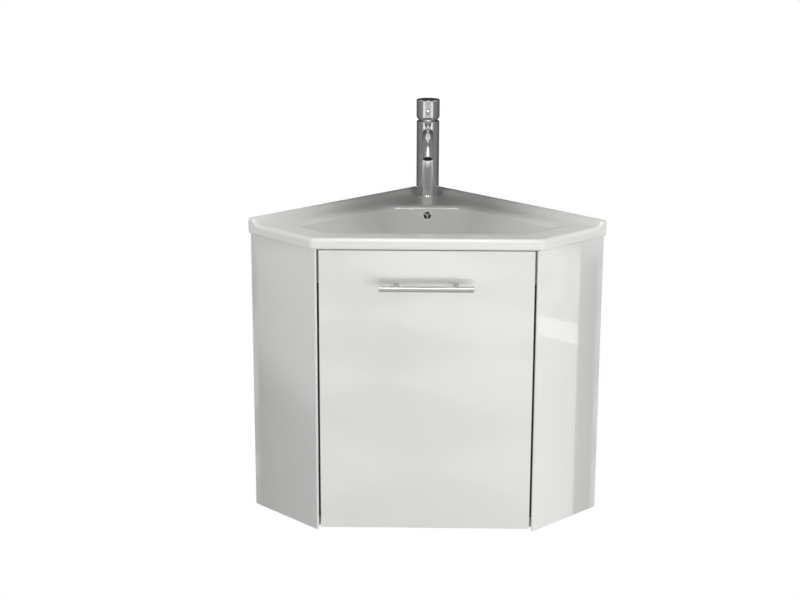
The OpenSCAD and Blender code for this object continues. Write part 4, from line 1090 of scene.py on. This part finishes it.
PAN_HEAD = {"Head Radius": 0.0040, "Head Height": 0.0024, "Dome": 0.55, "Shank Radius": 0.0020}
handle_spots = [((side * POST_X, FRONT_BACK_Y, HANDLE_Z), BACK) for side in SIDES]
grown("handle_screw_heads", "handle_screws", "drawer", (handle_spots, PAN_HEAD | {"Shank Length": 0.030}))
front_spots = [((side * FRONT_SCREW_X, FRONT_BACK_Y + BOX_T, z), BACK)
               for side in SIDES for z in FRONT_SCREW_ZS]
grown("front_screw_heads", "front_screws", "drawer", (front_spots, PAN_HEAD | {"Shank Length": 0.023}))

FLAT_HEAD = {"Head Radius": 0.0030, "Head Height": 0.0011, "Dome": 0.15, "Shank Radius": 0.0018}
# where the screws go: the body, the face they sit on, the way they face, how long they are
RUNNER_SCREWS = {
    "cabinet_runner": ("cabinet", PARTITION_IN - HEAD_STAND, -1, 0.0107),
    "drawer_runner": ("drawer", BOX_HALF_W + HEAD_STAND, 1, 0.0087),
}
for name, (body, face_x, faces_out, length) in RUNNER_SCREWS.items():
    spots = [((side * face_x, y, RUNNER_Z), (side * faces_out, 0, 0))
             for side in SIDES for y in RUNNER_SCREW_YS]
    grown(name + "_screw_heads", name + "_screws", body, (spots, FLAT_HEAD | {"Shank Length": length}))

# %% [markdown]
# The hanging plates and the cams sit on the rails at the back and face into the cabinet. A cam is
# a disc with a recess, sunk flush into the rail. It pulls a bolt that runs into the side panel, and
# the same tree makes that bolt, because it is a long shank under a tiny head.

# %% Screws of the hanging plates, cams and bolts
PLATE_V, PLATE_US, PLATE_SCREWS_DU, PLATE_Z = 0.021, (0.097, 0.339), (-0.022, 0.022), CABINET_TOP - 0.042
CAM_U, CAM_V, CAM_ZS = 0.377, 0.008, (0.400, 0.460, 0.051)
BOLT_U, BOLT_V = CAM_U + 0.009, CAM_V + 0.003
PLATE_SCREW = {"Head Radius": 0.0036, "Head Height": 0.0020, "Dome": 0.55,
               "Shank Radius": 0.0018, "Shank Length": 0.0135}
CAM = {"Head Radius": 0.0074, "Head Height": 0.0109, "Dome": 0.02, "Recess": 0.55,
       "Shank Radius": 0.0060, "Shank Length": 0.0002}
BOLT = {"Head Radius": 0.0030, "Head Height": 0.0008, "Dome": 0.5,
        "Shank Radius": 0.0030, "Shank Length": 0.0240}


def on_wall(side, u, v, z):
    spot = plan(u, v)
    return (side * spot.x, spot.y, z)


def off_wall(side):
    return (-side / ROOT2, -1 / ROOT2, 0)


def along_wall(side):
    return (-side / ROOT2, 1 / ROOT2, 0)


plate_spots = [(on_wall(side, u + du, PLATE_V, PLATE_Z), off_wall(side))
               for side in SIDES for u in PLATE_US for du in PLATE_SCREWS_DU]
grown("plate_screw_heads", "plate_screws", "cabinet", (plate_spots, PLATE_SCREW))
cam_spots = [(on_wall(side, CAM_U, CAM_V, z), off_wall(side)) for side in SIDES for z in CAM_ZS]
bolt_spots = [(on_wall(side, BOLT_U, BOLT_V, z), along_wall(side)) for side in SIDES for z in CAM_ZS]
grown("cams_and_bolts", "cam_fittings", "cabinet", (cam_spots, CAM), (bolt_spots, BOLT))
